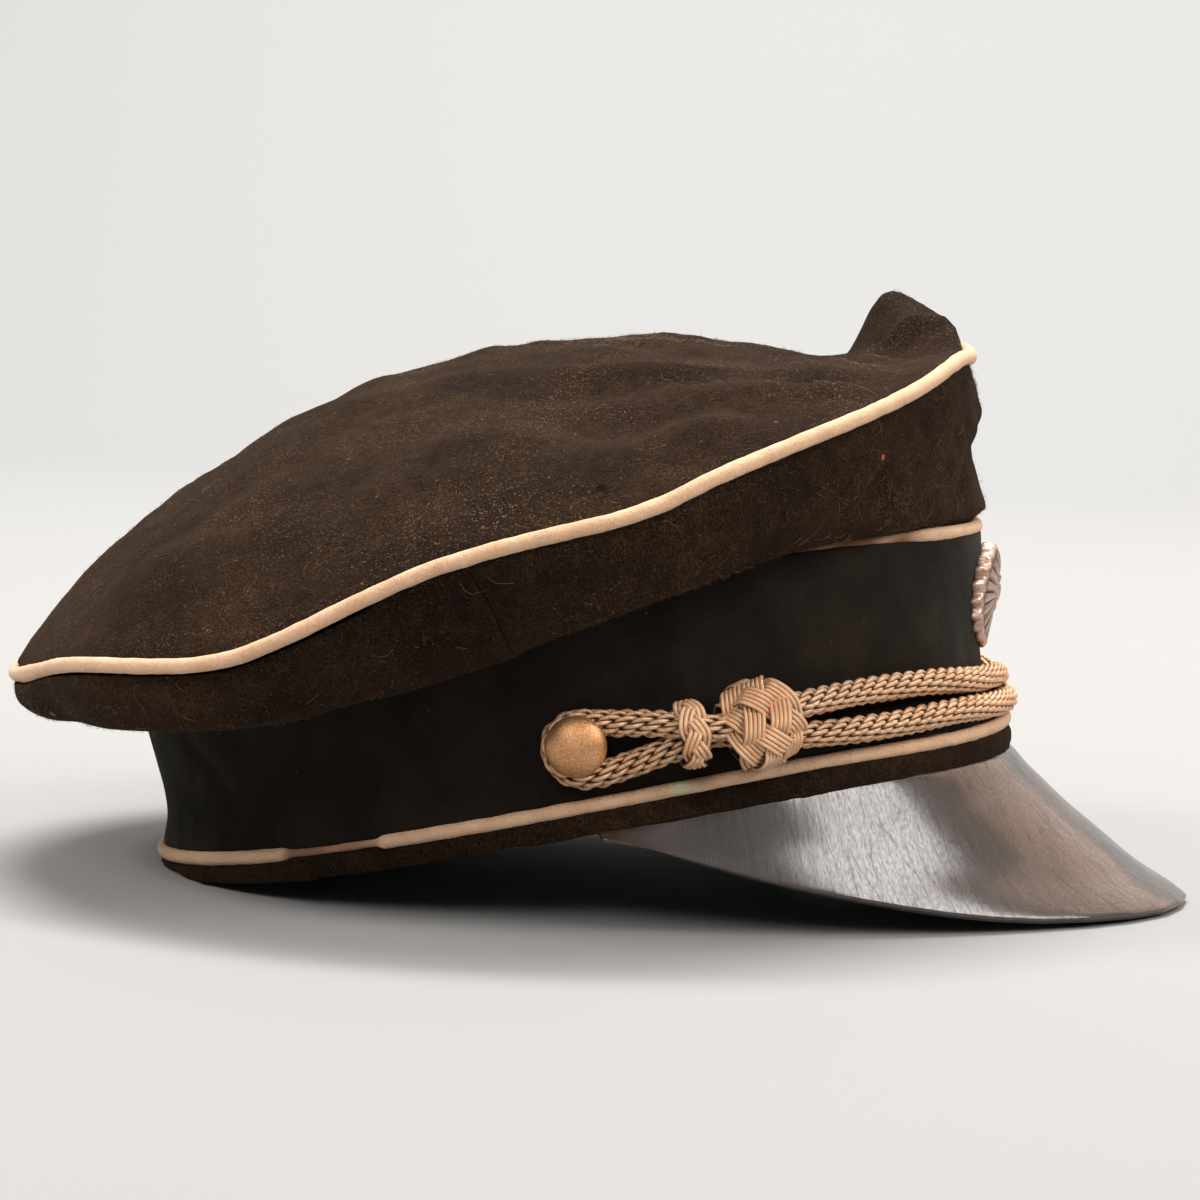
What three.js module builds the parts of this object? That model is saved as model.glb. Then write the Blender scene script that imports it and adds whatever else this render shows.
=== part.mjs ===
import * as THREE from 'three';
import { mergeVertices } from 'three/addons/utils/BufferGeometryUtils.js';

// A soft peaked cap standing on its back welt and on the front edge of its visor.
// Front +X, wearer's left +Y, up +Z, millimetres. Turns go round from the front towards the left.

// Head rim: the line of the lower piping, a tilted oval whose sides bow upwards
const RIM_TILT = 11.46;
const RIM_MIDDLE_X = -1.38;
const RIM_MIDDLE_Z = 23.23;
const RIM_HALF_LENGTH = 102.45;
const RIM_HALF_WIDTH = 84.0;
const RIM_SIDE_BOW = 2.4;
const RIM_FRONT_BOW = 3.1;

// Cloth, leather and piping sizes
const CROWN_CLOTH = 1.5;
const BAND_WALL = 3.0;
const VISOR_LEATHER = 2.2;
const PIPING_RADIUS = 1.5;
const CROWN_PIPING_RADIUS = 1.75;
const GAP = 0.35;
const BAND_FOOT = PIPING_RADIUS + 0.35;
const BAND_TOP = 43.2;
const BAND_SIDE_RISE = 5.0;
const UPPER_PIPING_OUT = 1.0;
const CROWN_FOOT_RISE = 2 * PIPING_RADIUS + 2 * GAP + 0.4;
const PIPING_SEAM = 1.6 * GAP;

// Chin cord, its woven knots and its buttons
const CORD_RADIUS = 2.75;
const CORD_OUT = CORD_RADIUS + 0.6;
const BUTTON_TURN = 84.7;
const BUTTON_UP = 14.0;
const BUTTON_RADIUS = 6.75;
const BUTTON_BACK = 7.0;
const BUTTON_RISE = 3.9;
const SHANK_RADIUS = 2.0;
const KNOT_BORE = 6.7;

// Front badge: a plain fluted oval
const BADGE = { halfWide: 17, halfHigh: 12.4, up: 29.4, rise: 3.4, rim: 1.4, flutes: 20, flute: 0.05 };

// Band profile: how far the velvet stands out from the rim line, a row for each height
const BAND_COLUMNS = ['up', 'front', 'side', 'rear'];
const BAND_ROWS = [
  [BAND_FOOT, -0.4, 0.1, -0.4],
  [8.0, -2.8, -0.5, -2.6],
  [14.0, -3.4, -0.7, -2.8],
  [21.0, -2.8, -0.5, -1.8],
  [29.0, -1.4, 0.0, -1.0],
  [37.0, 0.4, 0.4, -0.5],
  [BAND_TOP, 1.4, 0.6, 0.0],
];

// Welt height below the rim line, a row for each turn
const WELT_COLUMNS = ['turn', 'height'];
const WELT_ROWS = [
  [0, 8.6],
  [50, 7.4],
  [90, 6.4],
  [130, 6.3],
  [155, 5.6],
  [180, 5.2],
  [205, 5.6],
  [230, 6.3],
  [270, 6.4],
  [310, 7.4],
];

// Crown outline round its own middle: radius and height of the piping, height of the low fold of
// the side wall, how far that fold is tucked in from the piping, how far the wall stands out at its
// belly and at its brow under the piping, and how round the dome is
const CROWN_MIDDLE_X = -26;
const CROWN_MIDDLE_Z = 125.6;
const EDGE_ROLL = 0.2;
const ROLL_SHARPNESS = 14;
const FOLD_HOLD = 24;
const TOP_LIFT = 0.4;
const CROWN_COLUMNS = ['turn', 'radius', 'edge', 'low', 'tuck', 'belly', 'brow', 'dome'];
const CROWN_ROWS = [
  [0, 113.3, 127.8, 92.8, -5.6, -2.4, 1.8, 3.0],
  [15, 114.6, 128.8, 92.0, -1.0, -0.8, 1.0, 3.0],
  [30, 117.0, 127.0, 89.5, 5.0, 1.5, 1.0, 2.6],
  [45, 118.2, 119.5, 86.0, 8.0, 3.0, 1.5, 2.3],
  [60, 118.5, 107.5, 78.5, 8.5, 3.5, 2.0, 2.1],
  [75, 118.0, 94.5, 68.5, 8.0, 3.5, 2.0, 2.0],
  [90, 117.0, 83.0, 58.0, 8.0, 3.5, 2.0, 1.8],
  [105, 118.0, 71.0, 48.5, 8.5, 3.5, 2.0, 1.7],
  [120, 118.5, 61.0, 42.5, 9.0, 3.5, 2.0, 1.6],
  [135, 117.5, 55.5, 39.5, 9.5, 3.5, 2.0, 1.5],
  [150, 115.0, 51.5, 38.0, 9.5, 4.0, 2.2, 1.45],
  [165, 112.8, 48.0, 36.5, 9.5, 4.0, 2.2, 1.4],
  [180, 112.0, 45.2, 35.5, 9.5, 4.5, 2.2, 1.4],
  [195, 111.6, 45.4, 35.5, 9.0, 4.5, 2.2, 1.4],
  [205, 111.4, 47.6, 36.5, 8.5, 4.0, 2.0, 1.4],
  [214, 112.6, 50.6, 38.2, 8.0, 1.0, 0.5, 1.4],
  [225, 117.3, 54.0, 38.8, 9.5, 3.5, 2.0, 1.45],
  [232, 118.0, 55.4, 39.8, 9.5, 3.5, 2.0, 1.5],
  [240, 118.5, 56.6, 41.2, 9.0, 3.5, 2.0, 1.55],
  [248, 118.2, 59.2, 43.2, 8.8, 3.5, 2.0, 1.6],
  [255, 118.0, 65.0, 46.0, 8.5, 3.5, 2.0, 1.65],
  [262, 117.5, 72.6, 50.6, 8.2, 3.5, 2.0, 1.7],
  [270, 117.0, 80.8, 56.0, 8.0, 3.5, 2.0, 1.8],
  [278, 117.5, 86.6, 61.6, 8.0, 3.5, 2.0, 1.85],
  [285, 118.0, 90.6, 66.6, 8.0, 3.5, 2.0, 1.9],
  [293, 118.2, 95.2, 72.6, 8.2, 3.5, 2.0, 2.0],
  [300, 118.5, 102.0, 77.2, 8.5, 3.5, 2.0, 2.1],
  [308, 118.4, 108.2, 82.0, 9.0, 3.5, 1.8, 2.2],
  [315, 118.3, 112.8, 85.6, 9.0, 3.0, 1.5, 2.3],
  [330, 116.9, 121.0, 89.4, 5.5, 1.5, 1.0, 2.6],
  [345, 114.8, 127.6, 92.0, -1.0, -0.8, 1.0, 3.0],
];

// Side wall: how far its shoulder, belly and brow are along the way between its named lines
const SHOULDER_ALONG = 0.45;
const SHOULDER_HEIGHT = 0.62;
const BELLY_ALONG = 0.36;
const BROW_ALONG = 0.78;

// Folds of the top panel: middle, rise, half length, half width, and the turn of the length
const FOLD_COLUMNS = ['x', 'y', 'rise', 'long', 'wide', 'turn'];
const FOLD_ROWS = [
  [16, 4, 4.6, 38, 34, 0],
  [67, 43, 17.0, 18, 8, 104],
  [82, 28, 9.5, 15, 9, 115],
  [52, 38, -5.0, 22, 7, 100],
  [66, -14, -3.2, 26, 12, 80],
  [34, -52, 1.6, 34, 10, 25],
  [-2, -62, -2.4, 26, 13, 10],
  [-48, -64, -2.2, 22, 9, 80],
  [-88, -56, -2.6, 15, 10, 30],
  [-60, 62, -2.2, 24, 12, -60],
  [10, 70, -2.4, 26, 12, -15],
  [-96, 26, -1.8, 16, 12, 0],
];

// Visor edge on the ground side, a row for each turn of the rim from the front to the end
const VISOR_COLUMNS = ['turn', 'x', 'y', 'z'];
const VISOR_ROWS = [
  [0, 143.5, 0, 0],
  [10, 139.5, 20.5, 0.2],
  [20, 126.5, 40.0, 0.6],
  [30, 108.5, 54.5, 1.0],
  [40, 91.0, 65.0, 2.8],
  [50, 73.5, 73.0, 5.7],
  [60, 55.5, 79.0, 9.1],
  [70, 36.5, 83.4, 13.7],
  [78, 22.5, 85.4, 17.4],
  [84, 11.5, 85.9, 18.9],
];
const VISOR_BULGE = 1.2;
const VISOR_BULGE_REACH = 55;
const VISOR_DROP = 0.5;
const VISOR_EDGE_RISE = 0.76 * VISOR_LEATHER;
const VISOR_END_LEATHER = 0.9;
const VISOR_TAPER_TURNS = 22;

// Half of the chin cord's route, from the front to the button: distance forward of the button
// along the band, height above the rim line, distance of its middle out from the velvet.
// The upper leg comes first and the lower leg runs back.
const CORD_COLUMNS = ['forward', 'up', 'out'];
const CORD_UPPER = [
  [126, 12.6, CORD_OUT],
  [112, 12.9, CORD_OUT],
  [99, 13.4, CORD_OUT],
  [86, 13.8, CORD_OUT],
  [74, 14.0, 3.5],
  [64, 14.1, 5.0],
  [55, 14.1, 7.8],
  [47, 14.05, 10.3],
  [38, 13.6, 12.5],
  [29.2, 12.6, 12.8],
  [23.1, 14.3, 10.3],
  [18.8, 14.9, 8.0],
  [14, 15.6, 6.0],
  [9.5, 16.6, 4.8],
  [4.5, 18.2, 3.8],
  [-1.0, 19.1, 3.4],
  [-5.2, 16.8, CORD_OUT],
  [-6.0, 12.6, CORD_OUT],
];
const CORD_LOWER = [
  [-4.4, 8.4, CORD_OUT],
  [-0.8, 6.2, 3.5],
  [4.5, 6.1, 4.0],
  [9.5, 7.2, 4.6],
  [14, 8.1, 5.3],
  [18.8, 9.2, 6.8],
  [23.1, 9.7, 6.4],
  [29.2, 10.9, 7.3],
  [38, 9.0, 8.6],
  [47, 8.25, 9.8],
  [55, 7.3, 7.2],
  [64, 6.8, 4.8],
  [74, 6.7, 3.4],
  [86, 6.8, CORD_OUT],
  [99, 6.9, CORD_OUT],
  [112, 6.8, CORD_OUT],
  [126, 6.7, CORD_OUT],
];

// Woven knots: place along the band, height, distance out, length and outer radius
const KNOT_COLUMNS = ['name', 'forward', 'up', 'out', 'length', 'radius'];
const KNOT_ROWS = [
  ['small_knot', 23.1, 12.0, 8.7, 8.0, 7.9],
  ['large_knot', 38.0, 11.3, 10.5, 18.0, 10.2],
];

const rad = THREE.MathUtils.degToRad;

// Rows with named columns

function named(columns, rows) {
  return rows.map((row) => Object.fromEntries(columns.map((column, i) => [column, row[i]])));
}

const band = named(BAND_COLUMNS, BAND_ROWS);
const welt = named(WELT_COLUMNS, WELT_ROWS);
const crown = named(CROWN_COLUMNS, CROWN_ROWS);
const folds = named(FOLD_COLUMNS, FOLD_ROWS);
const visorEdge = named(VISOR_COLUMNS, VISOR_ROWS);
const knots = named(KNOT_COLUMNS, KNOT_ROWS);

// Smooth curve through a table's rows; a period closes the table on itself
function smooth(table, by, column, at, period) {
  const count = table.length;
  const place = period ? ((at % period) + period) % period : at;
  const row = (i) => {
    if (!period) {
      const held = table[Math.min(Math.max(i, 0), count - 1)];
      return { at: held[by], value: held[column] };
    }
    const lap = Math.floor(i / count);
    const held = table[i - lap * count];
    return { at: held[by] + lap * period, value: held[column] };
  };
  let i = 0;
  while (i < count - (period ? 1 : 2) && row(i + 1).at <= place) i += 1;
  const [before, from, to, after] = [row(i - 1), row(i), row(i + 1), row(i + 2)];
  const slope = (p, q) => (q.at === p.at ? 0 : (q.value - p.value) / (q.at - p.at));
  const span = to.at - from.at;
  const t = Math.min(Math.max((place - from.at) / span, 0), 1);
  const leave = slope(before, to) * span;
  const arrive = slope(from, after) * span;
  return (2 * t ** 3 - 3 * t ** 2 + 1) * from.value + (t ** 3 - 2 * t ** 2 + t) * leave
    + (3 * t ** 2 - 2 * t ** 3) * to.value + (t ** 3 - t ** 2) * arrive;
}

// Places on the head rim, the band and the crown; turns in degrees

function rimPoint(turn, out, up) {
  const c = Math.cos(rad(turn));
  const s = Math.sin(rad(turn));
  const tilt = rad(RIM_TILT);
  const along = (RIM_HALF_LENGTH + out) * c;
  const rise = up + (RIM_SIDE_BOW + RIM_FRONT_BOW * c) * s * s;
  return new THREE.Vector3(
    RIM_MIDDLE_X + along * Math.cos(tilt) - rise * Math.sin(tilt),
    (RIM_HALF_WIDTH + out) * s,
    RIM_MIDDLE_Z + along * Math.sin(tilt) + rise * Math.cos(tilt),
  );
}

function bandOut(turn, up) {
  const c = Math.cos(rad(turn));
  const column = c > 0 ? 'front' : 'rear';
  const end = smooth(band, 'up', column, up);
  return end * c * c + smooth(band, 'up', 'side', up) * (1 - c * c);
}

// Height of the band's top edge, which is higher at the sides
function bandTop(turn) {
  return BAND_TOP + BAND_SIDE_RISE * Math.sin(rad(turn)) ** 2;
}

function bandPoint(turn, out, up) {
  return rimPoint(turn, bandOut(turn, up) + out, up);
}

function weltHeight(turn) {
  return smooth(welt, 'turn', 'height', turn, 360);
}

function crownValue(turn, column) {
  return smooth(crown, 'turn', column, turn, 360);
}

function crownEdge(turn, inwards = 0) {
  const radius = crownValue(turn, 'radius') - inwards;
  return new THREE.Vector3(
    CROWN_MIDDLE_X + radius * Math.cos(rad(turn)),
    radius * Math.sin(rad(turn)),
    crownValue(turn, 'edge'),
  );
}

function foldRise(x, y) {
  let rise = 0;
  for (const fold of folds) {
    const c = Math.cos(rad(fold.turn));
    const s = Math.sin(rad(fold.turn));
    const along = ((x - fold.x) * c + (y - fold.y) * s) / fold.long;
    const across = ((y - fold.y) * c - (x - fold.x) * s) / fold.wide;
    rise += fold.rise * Math.exp(-(along ** 2) - across ** 2);
  }
  return rise;
}

// Top panel: a dome that falls from the middle to the piping, with its folds
function topPoint(turn, share) {
  const reach = crownValue(turn, 'radius') - CROWN_PIPING_RADIUS - PIPING_SEAM;
  const x = CROWN_MIDDLE_X + share * reach * Math.cos(rad(turn));
  const y = share * reach * Math.sin(rad(turn));
  const dome = share ** crownValue(turn, 'dome') * (1 - EDGE_ROLL);
  const roll = share ** ROLL_SHARPNESS * EDGE_ROLL;
  const fall = (crownValue(turn, 'edge') - CROWN_MIDDLE_Z) * (dome + roll);
  const held = 1 - share ** FOLD_HOLD;
  return new THREE.Vector3(x, y, CROWN_MIDDLE_Z + TOP_LIFT + fall + foldRise(x, y) * held);
}

// Side wall: from the band's top out over the upper piping, down to the low fold and up to the edge
function sideCurve(turn) {
  const edge = crownEdge(turn);
  const bandTurn = THREE.MathUtils.radToDeg(Math.atan2(
    edge.y / RIM_HALF_WIDTH,
    (edge.x - RIM_MIDDLE_X + BAND_TOP * Math.sin(rad(RIM_TILT))) / RIM_HALF_LENGTH,
  ));
  const foot = rimPoint(bandTurn, UPPER_PIPING_OUT, bandTop(bandTurn) + CROWN_FOOT_RISE);
  const low = crownEdge(turn, crownValue(turn, 'tuck'));
  low.z = crownValue(turn, 'low');
  const top = crownEdge(turn, 0.3);
  top.z -= CROWN_PIPING_RADIUS + PIPING_SEAM;
  const outwards = new THREE.Vector3(Math.cos(rad(turn)), Math.sin(rad(turn)), 0);
  const shoulder = foot.clone().lerp(low, SHOULDER_ALONG);
  shoulder.z = THREE.MathUtils.lerp(Math.min(foot.z, low.z), Math.max(foot.z, low.z), SHOULDER_HEIGHT);
  const belly = low.clone().lerp(top, BELLY_ALONG);
  belly.addScaledVector(outwards, crownValue(turn, 'belly'));
  const brow = low.clone().lerp(top, BROW_ALONG);
  brow.addScaledVector(outwards, crownValue(turn, 'brow'));
  return new THREE.CatmullRomCurve3([foot, shoulder, low, belly, brow, top], false, 'centripetal');
}

// Closed solids from points and faces

function closedSolid(points, faces) {
  const position = new Float32Array(points.flatMap((p) => [p.x, p.y, p.z]));
  const loose = new THREE.BufferGeometry();
  loose.setAttribute('position', new THREE.BufferAttribute(position, 3));
  loose.setIndex(faces.flat());
  return weld(loose);
}

// Shared corners are merged, faces without area are dropped, and the faces point out
function weld(geometry) {
  geometry.deleteAttribute('normal');
  geometry.deleteAttribute('uv');
  const welded = mergeVertices(geometry, 1e-4);
  const place = welded.getAttribute('position');
  const corner = (i) => new THREE.Vector3().fromBufferAttribute(place, i);
  const kept = [];
  let volume = 0;
  for (let i = 0; i < welded.index.count; i += 3) {
    const [a, b, c] = [0, 1, 2].map((k) => welded.index.getX(i + k));
    if (a !== b && b !== c && c !== a) {
      kept.push(a, b, c);
      volume += corner(a).dot(corner(b).cross(corner(c)));
    }
  }
  if (volume < 0) {
    kept.reverse();
  }
  welded.setIndex(kept);
  welded.computeVertexNormals();
  return welded;
}

// Sheet from a grid of points of its outer face: each row is a profile with its own thickness,
// laid off inwards for a positive thickness and the other way for a negative one
function sheetSolid(rows, thickness, floor = -Infinity) {
  const end = rows.length - 1;
  const last = rows[0].length - 1;
  const points = [];
  rows.forEach((profile, i) => {
    profile.forEach((point, j) => {
      const along = rows[Math.min(i + 1, end)][j].clone().sub(rows[Math.max(i - 1, 0)][j]);
      const across = profile[Math.min(j + 1, last)].clone().sub(profile[Math.max(j - 1, 0)]);
      const inner = point.clone().addScaledVector(along.cross(across).normalize(), thickness(i));
      inner.z = Math.max(inner.z, floor);
      points.push(point, inner);
    });
  });
  const outer = (i, j) => 2 * (i * (last + 1) + j);
  const inner = (i, j) => outer(i, j) + 1;
  const faces = [];
  const quad = (a, b, c, d) => faces.push([a, b, c], [a, c, d]);
  for (let i = 0; i < end; i += 1) {
    for (let j = 0; j < last; j += 1) {
      quad(outer(i, j), outer(i + 1, j), outer(i + 1, j + 1), outer(i, j + 1));
      quad(inner(i, j), inner(i, j + 1), inner(i + 1, j + 1), inner(i + 1, j));
    }
    quad(outer(i, 0), inner(i, 0), inner(i + 1, 0), outer(i + 1, 0));
    quad(outer(i, last), outer(i + 1, last), inner(i + 1, last), inner(i, last));
  }
  for (let j = 0; j < last; j += 1) {
    quad(outer(0, j), outer(0, j + 1), inner(0, j + 1), inner(0, j));
    quad(outer(end, j), inner(end, j), inner(end, j + 1), outer(end, j + 1));
  }
  return closedSolid(points, faces);
}

// Ring of one closed section repeated round the rim
function ringSolid(sections) {
  const count = sections.length;
  const width = sections[0].length;
  const faces = [];
  for (let i = 0; i < count; i += 1) {
    for (let j = 0; j < width; j += 1) {
      const [a, b] = [i * width + j, i * width + ((j + 1) % width)];
      const [c, d] = [((i + 1) % count) * width + ((j + 1) % width), ((i + 1) % count) * width + j];
      faces.push([a, b, c], [a, c, d]);
    }
  }
  return closedSolid(sections.flat(), faces);
}

function turns(count, from = 0, to = 360) {
  const closed = to - from === 360;
  const steps = closed ? count : count - 1;
  return Array.from({ length: count }, (_, i) => from + ((to - from) * i) / steps);
}

// Closed piping or cord through its points, with even steps in each stretch between two points
class Route extends THREE.CatmullRomCurve3 {
  getPointAt(u, target) {
    return this.getPoint(u, target);
  }

  getTangentAt(u, target) {
    return this.getTangent(u, target);
  }
}

function loopTube(points, steps, radius, sides) {
  const route = new Route(points, true, 'centripetal');
  return weld(new THREE.TubeGeometry(route, steps, radius, sides, true));
}

// Materials

const FINISHES = {
  wool: { color: 0x2a2420, roughness: 0.95, metalness: 0 },
  velvet: { color: 0x151c1b, roughness: 0.9, metalness: 0 },
  cream: { color: 0xe6cfae, roughness: 0.85, metalness: 0 },
  leather: { color: 0x2b2320, roughness: 0.35, metalness: 0 },
  cord: { color: 0xb08e70, roughness: 0.55, metalness: 0.4 },
  bronze: { color: 0xa8825c, roughness: 0.45, metalness: 0.9 },
};

const cap = new THREE.Group();

function addPiece(name, geometry, finish) {
  const mesh = new THREE.Mesh(geometry, new THREE.MeshStandardMaterial(FINISHES[finish]));
  mesh.name = name;
  cap.add(mesh);
  return mesh;
}

// Crown: the top panel and the four quarter panels of the side wall

// The mesh round the crown is finest at the front, where its folds are
const CROWN_TURNS = 68;
const FRONT_CROWDING = 14;
const TOP_RINGS = 13;
const RING_CROWDING = 0.85;
const SIDE_STEPS = 8;

function crownTop() {
  const rings = Array.from({ length: TOP_RINGS + 1 }, (_, j) => (j / TOP_RINGS) ** RING_CROWDING);
  const crowded = turns(CROWN_TURNS).map((turn) => turn - FRONT_CROWDING * Math.sin(rad(turn)));
  const rows = crowded.map((turn) => rings.map((share) => topPoint(turn, share)));
  const count = rows.length;
  const down = new THREE.Vector3(0, 0, -1);
  const points = [];
  rows.forEach((profile, i) => {
    const [before, after] = [rows[(i + count - 1) % count], rows[(i + 1) % count]];
    profile.forEach((point, j) => {
      const along = after[j].clone().sub(before[j]);
      const across = profile[Math.min(j + 1, TOP_RINGS)].clone().sub(profile[Math.max(j - 1, 0)]);
      const inwards = j === 0 ? down : along.cross(across).normalize();
      points.push(point, point.clone().addScaledVector(inwards, CROWN_CLOTH));
    });
  });
  const outer = (i, j) => 2 * ((i % count) * (TOP_RINGS + 1) + j);
  const faces = [];
  const quad = (a, b, c, d) => faces.push([a, b, c], [a, c, d]);
  for (let i = 0; i < count; i += 1) {
    for (let j = 0; j < TOP_RINGS; j += 1) {
      quad(outer(i, j), outer(i, j + 1), outer(i + 1, j + 1), outer(i + 1, j));
      quad(outer(i, j) + 1, outer(i + 1, j) + 1, outer(i + 1, j + 1) + 1, outer(i, j + 1) + 1);
    }
    const [edge, nextEdge] = [outer(i, TOP_RINGS), outer(i + 1, TOP_RINGS)];
    quad(edge, edge + 1, nextEdge + 1, nextEdge);
  }
  return closedSolid(points, faces);
}

addPiece('crown_top', crownTop(), 'wool');

// Quarter panels: the turns of their two seams at the piping, and how far the near seam leans
const QUARTER_COLUMNS = ['name', 'from', 'to', 'fromLean', 'toLean'];
const QUARTERS = named(QUARTER_COLUMNS, [
  ['front_left', 0, 88, 0, 0],
  ['rear_left', 88, 180, 0, 0],
  ['rear_right', 180, 274, 0, 10],
  ['front_right', 274, 360, 10, 0],
]);
const SEAM_GAP = 0.18;

function quarterPanel(quarter) {
  const spans = Math.round((CROWN_TURNS * (quarter.to - quarter.from)) / 360);
  const rows = Array.from({ length: spans + 1 }, (_, i) => (
    Array.from({ length: SIDE_STEPS + 1 }, (__, j) => {
      const foot = 1 - j / SIDE_STEPS;
      const from = quarter.from + quarter.fromLean * foot + SEAM_GAP;
      const to = quarter.to + quarter.toLean * foot - SEAM_GAP;
      return sideCurve(from + ((to - from) * i) / spans).getPoint(j / SIDE_STEPS);
    })
  ));
  return sheetSolid(rows, () => -CROWN_CLOTH);
}

for (const quarter of QUARTERS) {
  addPiece(`crown_side_${quarter.name}`, quarterPanel(quarter), 'wool');
}

// Pipings: round the crown, and along both edges of the band

const PIPING_STEPS = 72;
const PIPING_SIDES = 6;
const LOWER_PIPING_OUT = -0.1;

function piping(pointAt, radius) {
  return loopTube(turns(PIPING_STEPS).map(pointAt), PIPING_STEPS, radius, PIPING_SIDES);
}

function upperPipingPoint(turn) {
  return rimPoint(turn, UPPER_PIPING_OUT, bandTop(turn) + PIPING_RADIUS + GAP);
}

function lowerPipingPoint(turn) {
  return rimPoint(turn, LOWER_PIPING_OUT, 0);
}

addPiece('crown_piping', piping((turn) => crownEdge(turn), CROWN_PIPING_RADIUS), 'cream');
addPiece('band_piping_upper', piping(upperPipingPoint, PIPING_RADIUS), 'cream');
addPiece('band_piping_lower', piping(lowerPipingPoint, PIPING_RADIUS), 'cream');

// Band and welt

const BAND_TURNS = 64;

function bandSection(turn) {
  const stretch = (bandTop(turn) - BAND_FOOT) / (BAND_TOP - BAND_FOOT);
  const wall = (out) => band.map(({ up }) => (
    rimPoint(turn, bandOut(turn, up) + out, BAND_FOOT + (up - BAND_FOOT) * stretch)
  ));
  return [...wall(0), ...wall(-BAND_WALL).toReversed()];
}

addPiece('band', ringSolid(turns(BAND_TURNS).map(bandSection)), 'velvet');

// The welt hangs from the lower piping and folds in where it is pressed flat on the ground
function weltSection(turn) {
  const top = -(PIPING_RADIUS + GAP);
  const height = weltHeight(turn);
  const section = [
    rimPoint(turn, 0.2, top),
    rimPoint(turn, 0.4, (top - height) / 2),
    rimPoint(turn, 0, -height),
    rimPoint(turn, -BAND_WALL, -height),
    rimPoint(turn, -BAND_WALL, top),
  ];
  return section.map(({ x, y, z }) => new THREE.Vector3(x, y, Math.max(z, 0)));
}

addPiece('bottom_welt', ringSolid(turns(BAND_TURNS).map(weltSection)), 'wool');

// Visor: a curved sheet of leather from under the welt to its resting edge

const VISOR_SPANS = 28;
const VISOR_STEPS = 4;
const visorEnd = VISOR_ROWS.at(-1)[0];
const visorTurns = turns(VISOR_SPANS + 1, -visorEnd, visorEnd);

function visorProfile(turn) {
  const side = Math.sign(turn);
  const at = Math.abs(turn);
  const root = rimPoint(turn, -0.3, -weltHeight(turn) - VISOR_DROP);
  const edge = new THREE.Vector3(
    smooth(visorEdge, 'turn', 'x', at),
    side * smooth(visorEdge, 'turn', 'y', at),
    Math.max(smooth(visorEdge, 'turn', 'z', at), 0) + VISOR_EDGE_RISE,
  );
  const reach = edge.distanceTo(root);
  return Array.from({ length: VISOR_STEPS + 1 }, (_, j) => {
    const share = j / VISOR_STEPS;
    const point = root.clone().lerp(edge, share);
    point.z += VISOR_BULGE * (reach / VISOR_BULGE_REACH) * 4 * share * (1 - share);
    return point;
  });
}

// The leather is pared thin towards its two ends
function visorThickness(i) {
  const toEnd = Math.min((visorEnd - Math.abs(visorTurns[i])) / VISOR_TAPER_TURNS, 1);
  return THREE.MathUtils.lerp(VISOR_END_LEATHER, VISOR_LEATHER, toEnd);
}

addPiece('visor', sheetSolid(visorTurns.map(visorProfile), visorThickness, 0), 'leather');

// Distance along the band forward of a button, turned into a turn of the rim
function turnAt(forward) {
  const step = 0.25 * Math.sign(forward);
  let turn = BUTTON_TURN;
  let left = Math.abs(forward);
  while (left > 0) {
    const here = bandPoint(turn, 0, BUTTON_UP);
    const length = here.distanceTo(bandPoint(turn - step, 0, BUTTON_UP));
    turn -= step * Math.min(left / length, 1);
    left -= length;
  }
  return turn;
}

function placeOnBand(side, { forward, up, out }) {
  return bandPoint(side * turnAt(forward), out, up);
}

// Chin cord: one loop, front centre, upper right leg, button, lower right leg and the mirror of it

const upperLeg = named(CORD_COLUMNS, CORD_UPPER);
const lowerLeg = named(CORD_COLUMNS, CORD_LOWER);
const CORD_STEPS_PER_POINT = 2;
const CORD_SIDES = 8;

const legs = [...upperLeg, ...lowerLeg];
const cordPoints = [
  bandPoint(0, CORD_OUT, upperLeg[0].up),
  ...legs.map((row) => placeOnBand(-1, row)),
  bandPoint(0, CORD_OUT, lowerLeg.at(-1).up),
  ...legs.toReversed().map((row) => placeOnBand(1, row)),
];
const cordSteps = CORD_STEPS_PER_POINT * cordPoints.length;
addPiece('chin_cord', loopTube(cordPoints, cordSteps, CORD_RADIUS, CORD_SIDES), 'cord');

// Turns a piece made along +Z so that +Z points along a direction, and moves it to a place
function place(mesh, point, direction) {
  mesh.quaternion.setFromUnitVectors(new THREE.Vector3(0, 0, 1), direction.clone().normalize());
  mesh.position.copy(point);
}

const LATHE_SIDES = 18;

function turned(outline) {
  const points = outline.map(({ r, z }) => new THREE.Vector2(r, z));
  return weld(new THREE.LatheGeometry(points, LATHE_SIDES).rotateX(Math.PI / 2));
}

// Woven knots, as barrels bored through for both legs of the cord: the outline as shares of the
// wall's thickness and of half the length
const BARREL_COLUMNS = ['wall', 'end'];
const BARREL_ROWS = [
  [0, -1],
  [0.35, -1],
  [0.85, -0.62],
  [1, 0],
  [0.85, 0.62],
  [0.35, 1],
  [0, 1],
  [0, -1],
];
const barrel = named(BARREL_COLUMNS, BARREL_ROWS);

function knotBarrel({ length, radius }) {
  return turned(barrel.map(({ wall, end }) => (
    { r: THREE.MathUtils.lerp(KNOT_BORE, radius, wall), z: (end * length) / 2 }
  )));
}

// Button: a low dome on a shank that stands inside the cord's loop: the dome as shares of its
// radius and of its rise
const DOME_COLUMNS = ['wide', 'high'];
const DOME_ROWS = [
  [0.94, 0],
  [1, 0.18],
  [0.88, 0.55],
  [0.62, 0.83],
  [0.32, 0.96],
  [0, 1],
];
const dome = named(DOME_COLUMNS, DOME_ROWS);

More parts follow.
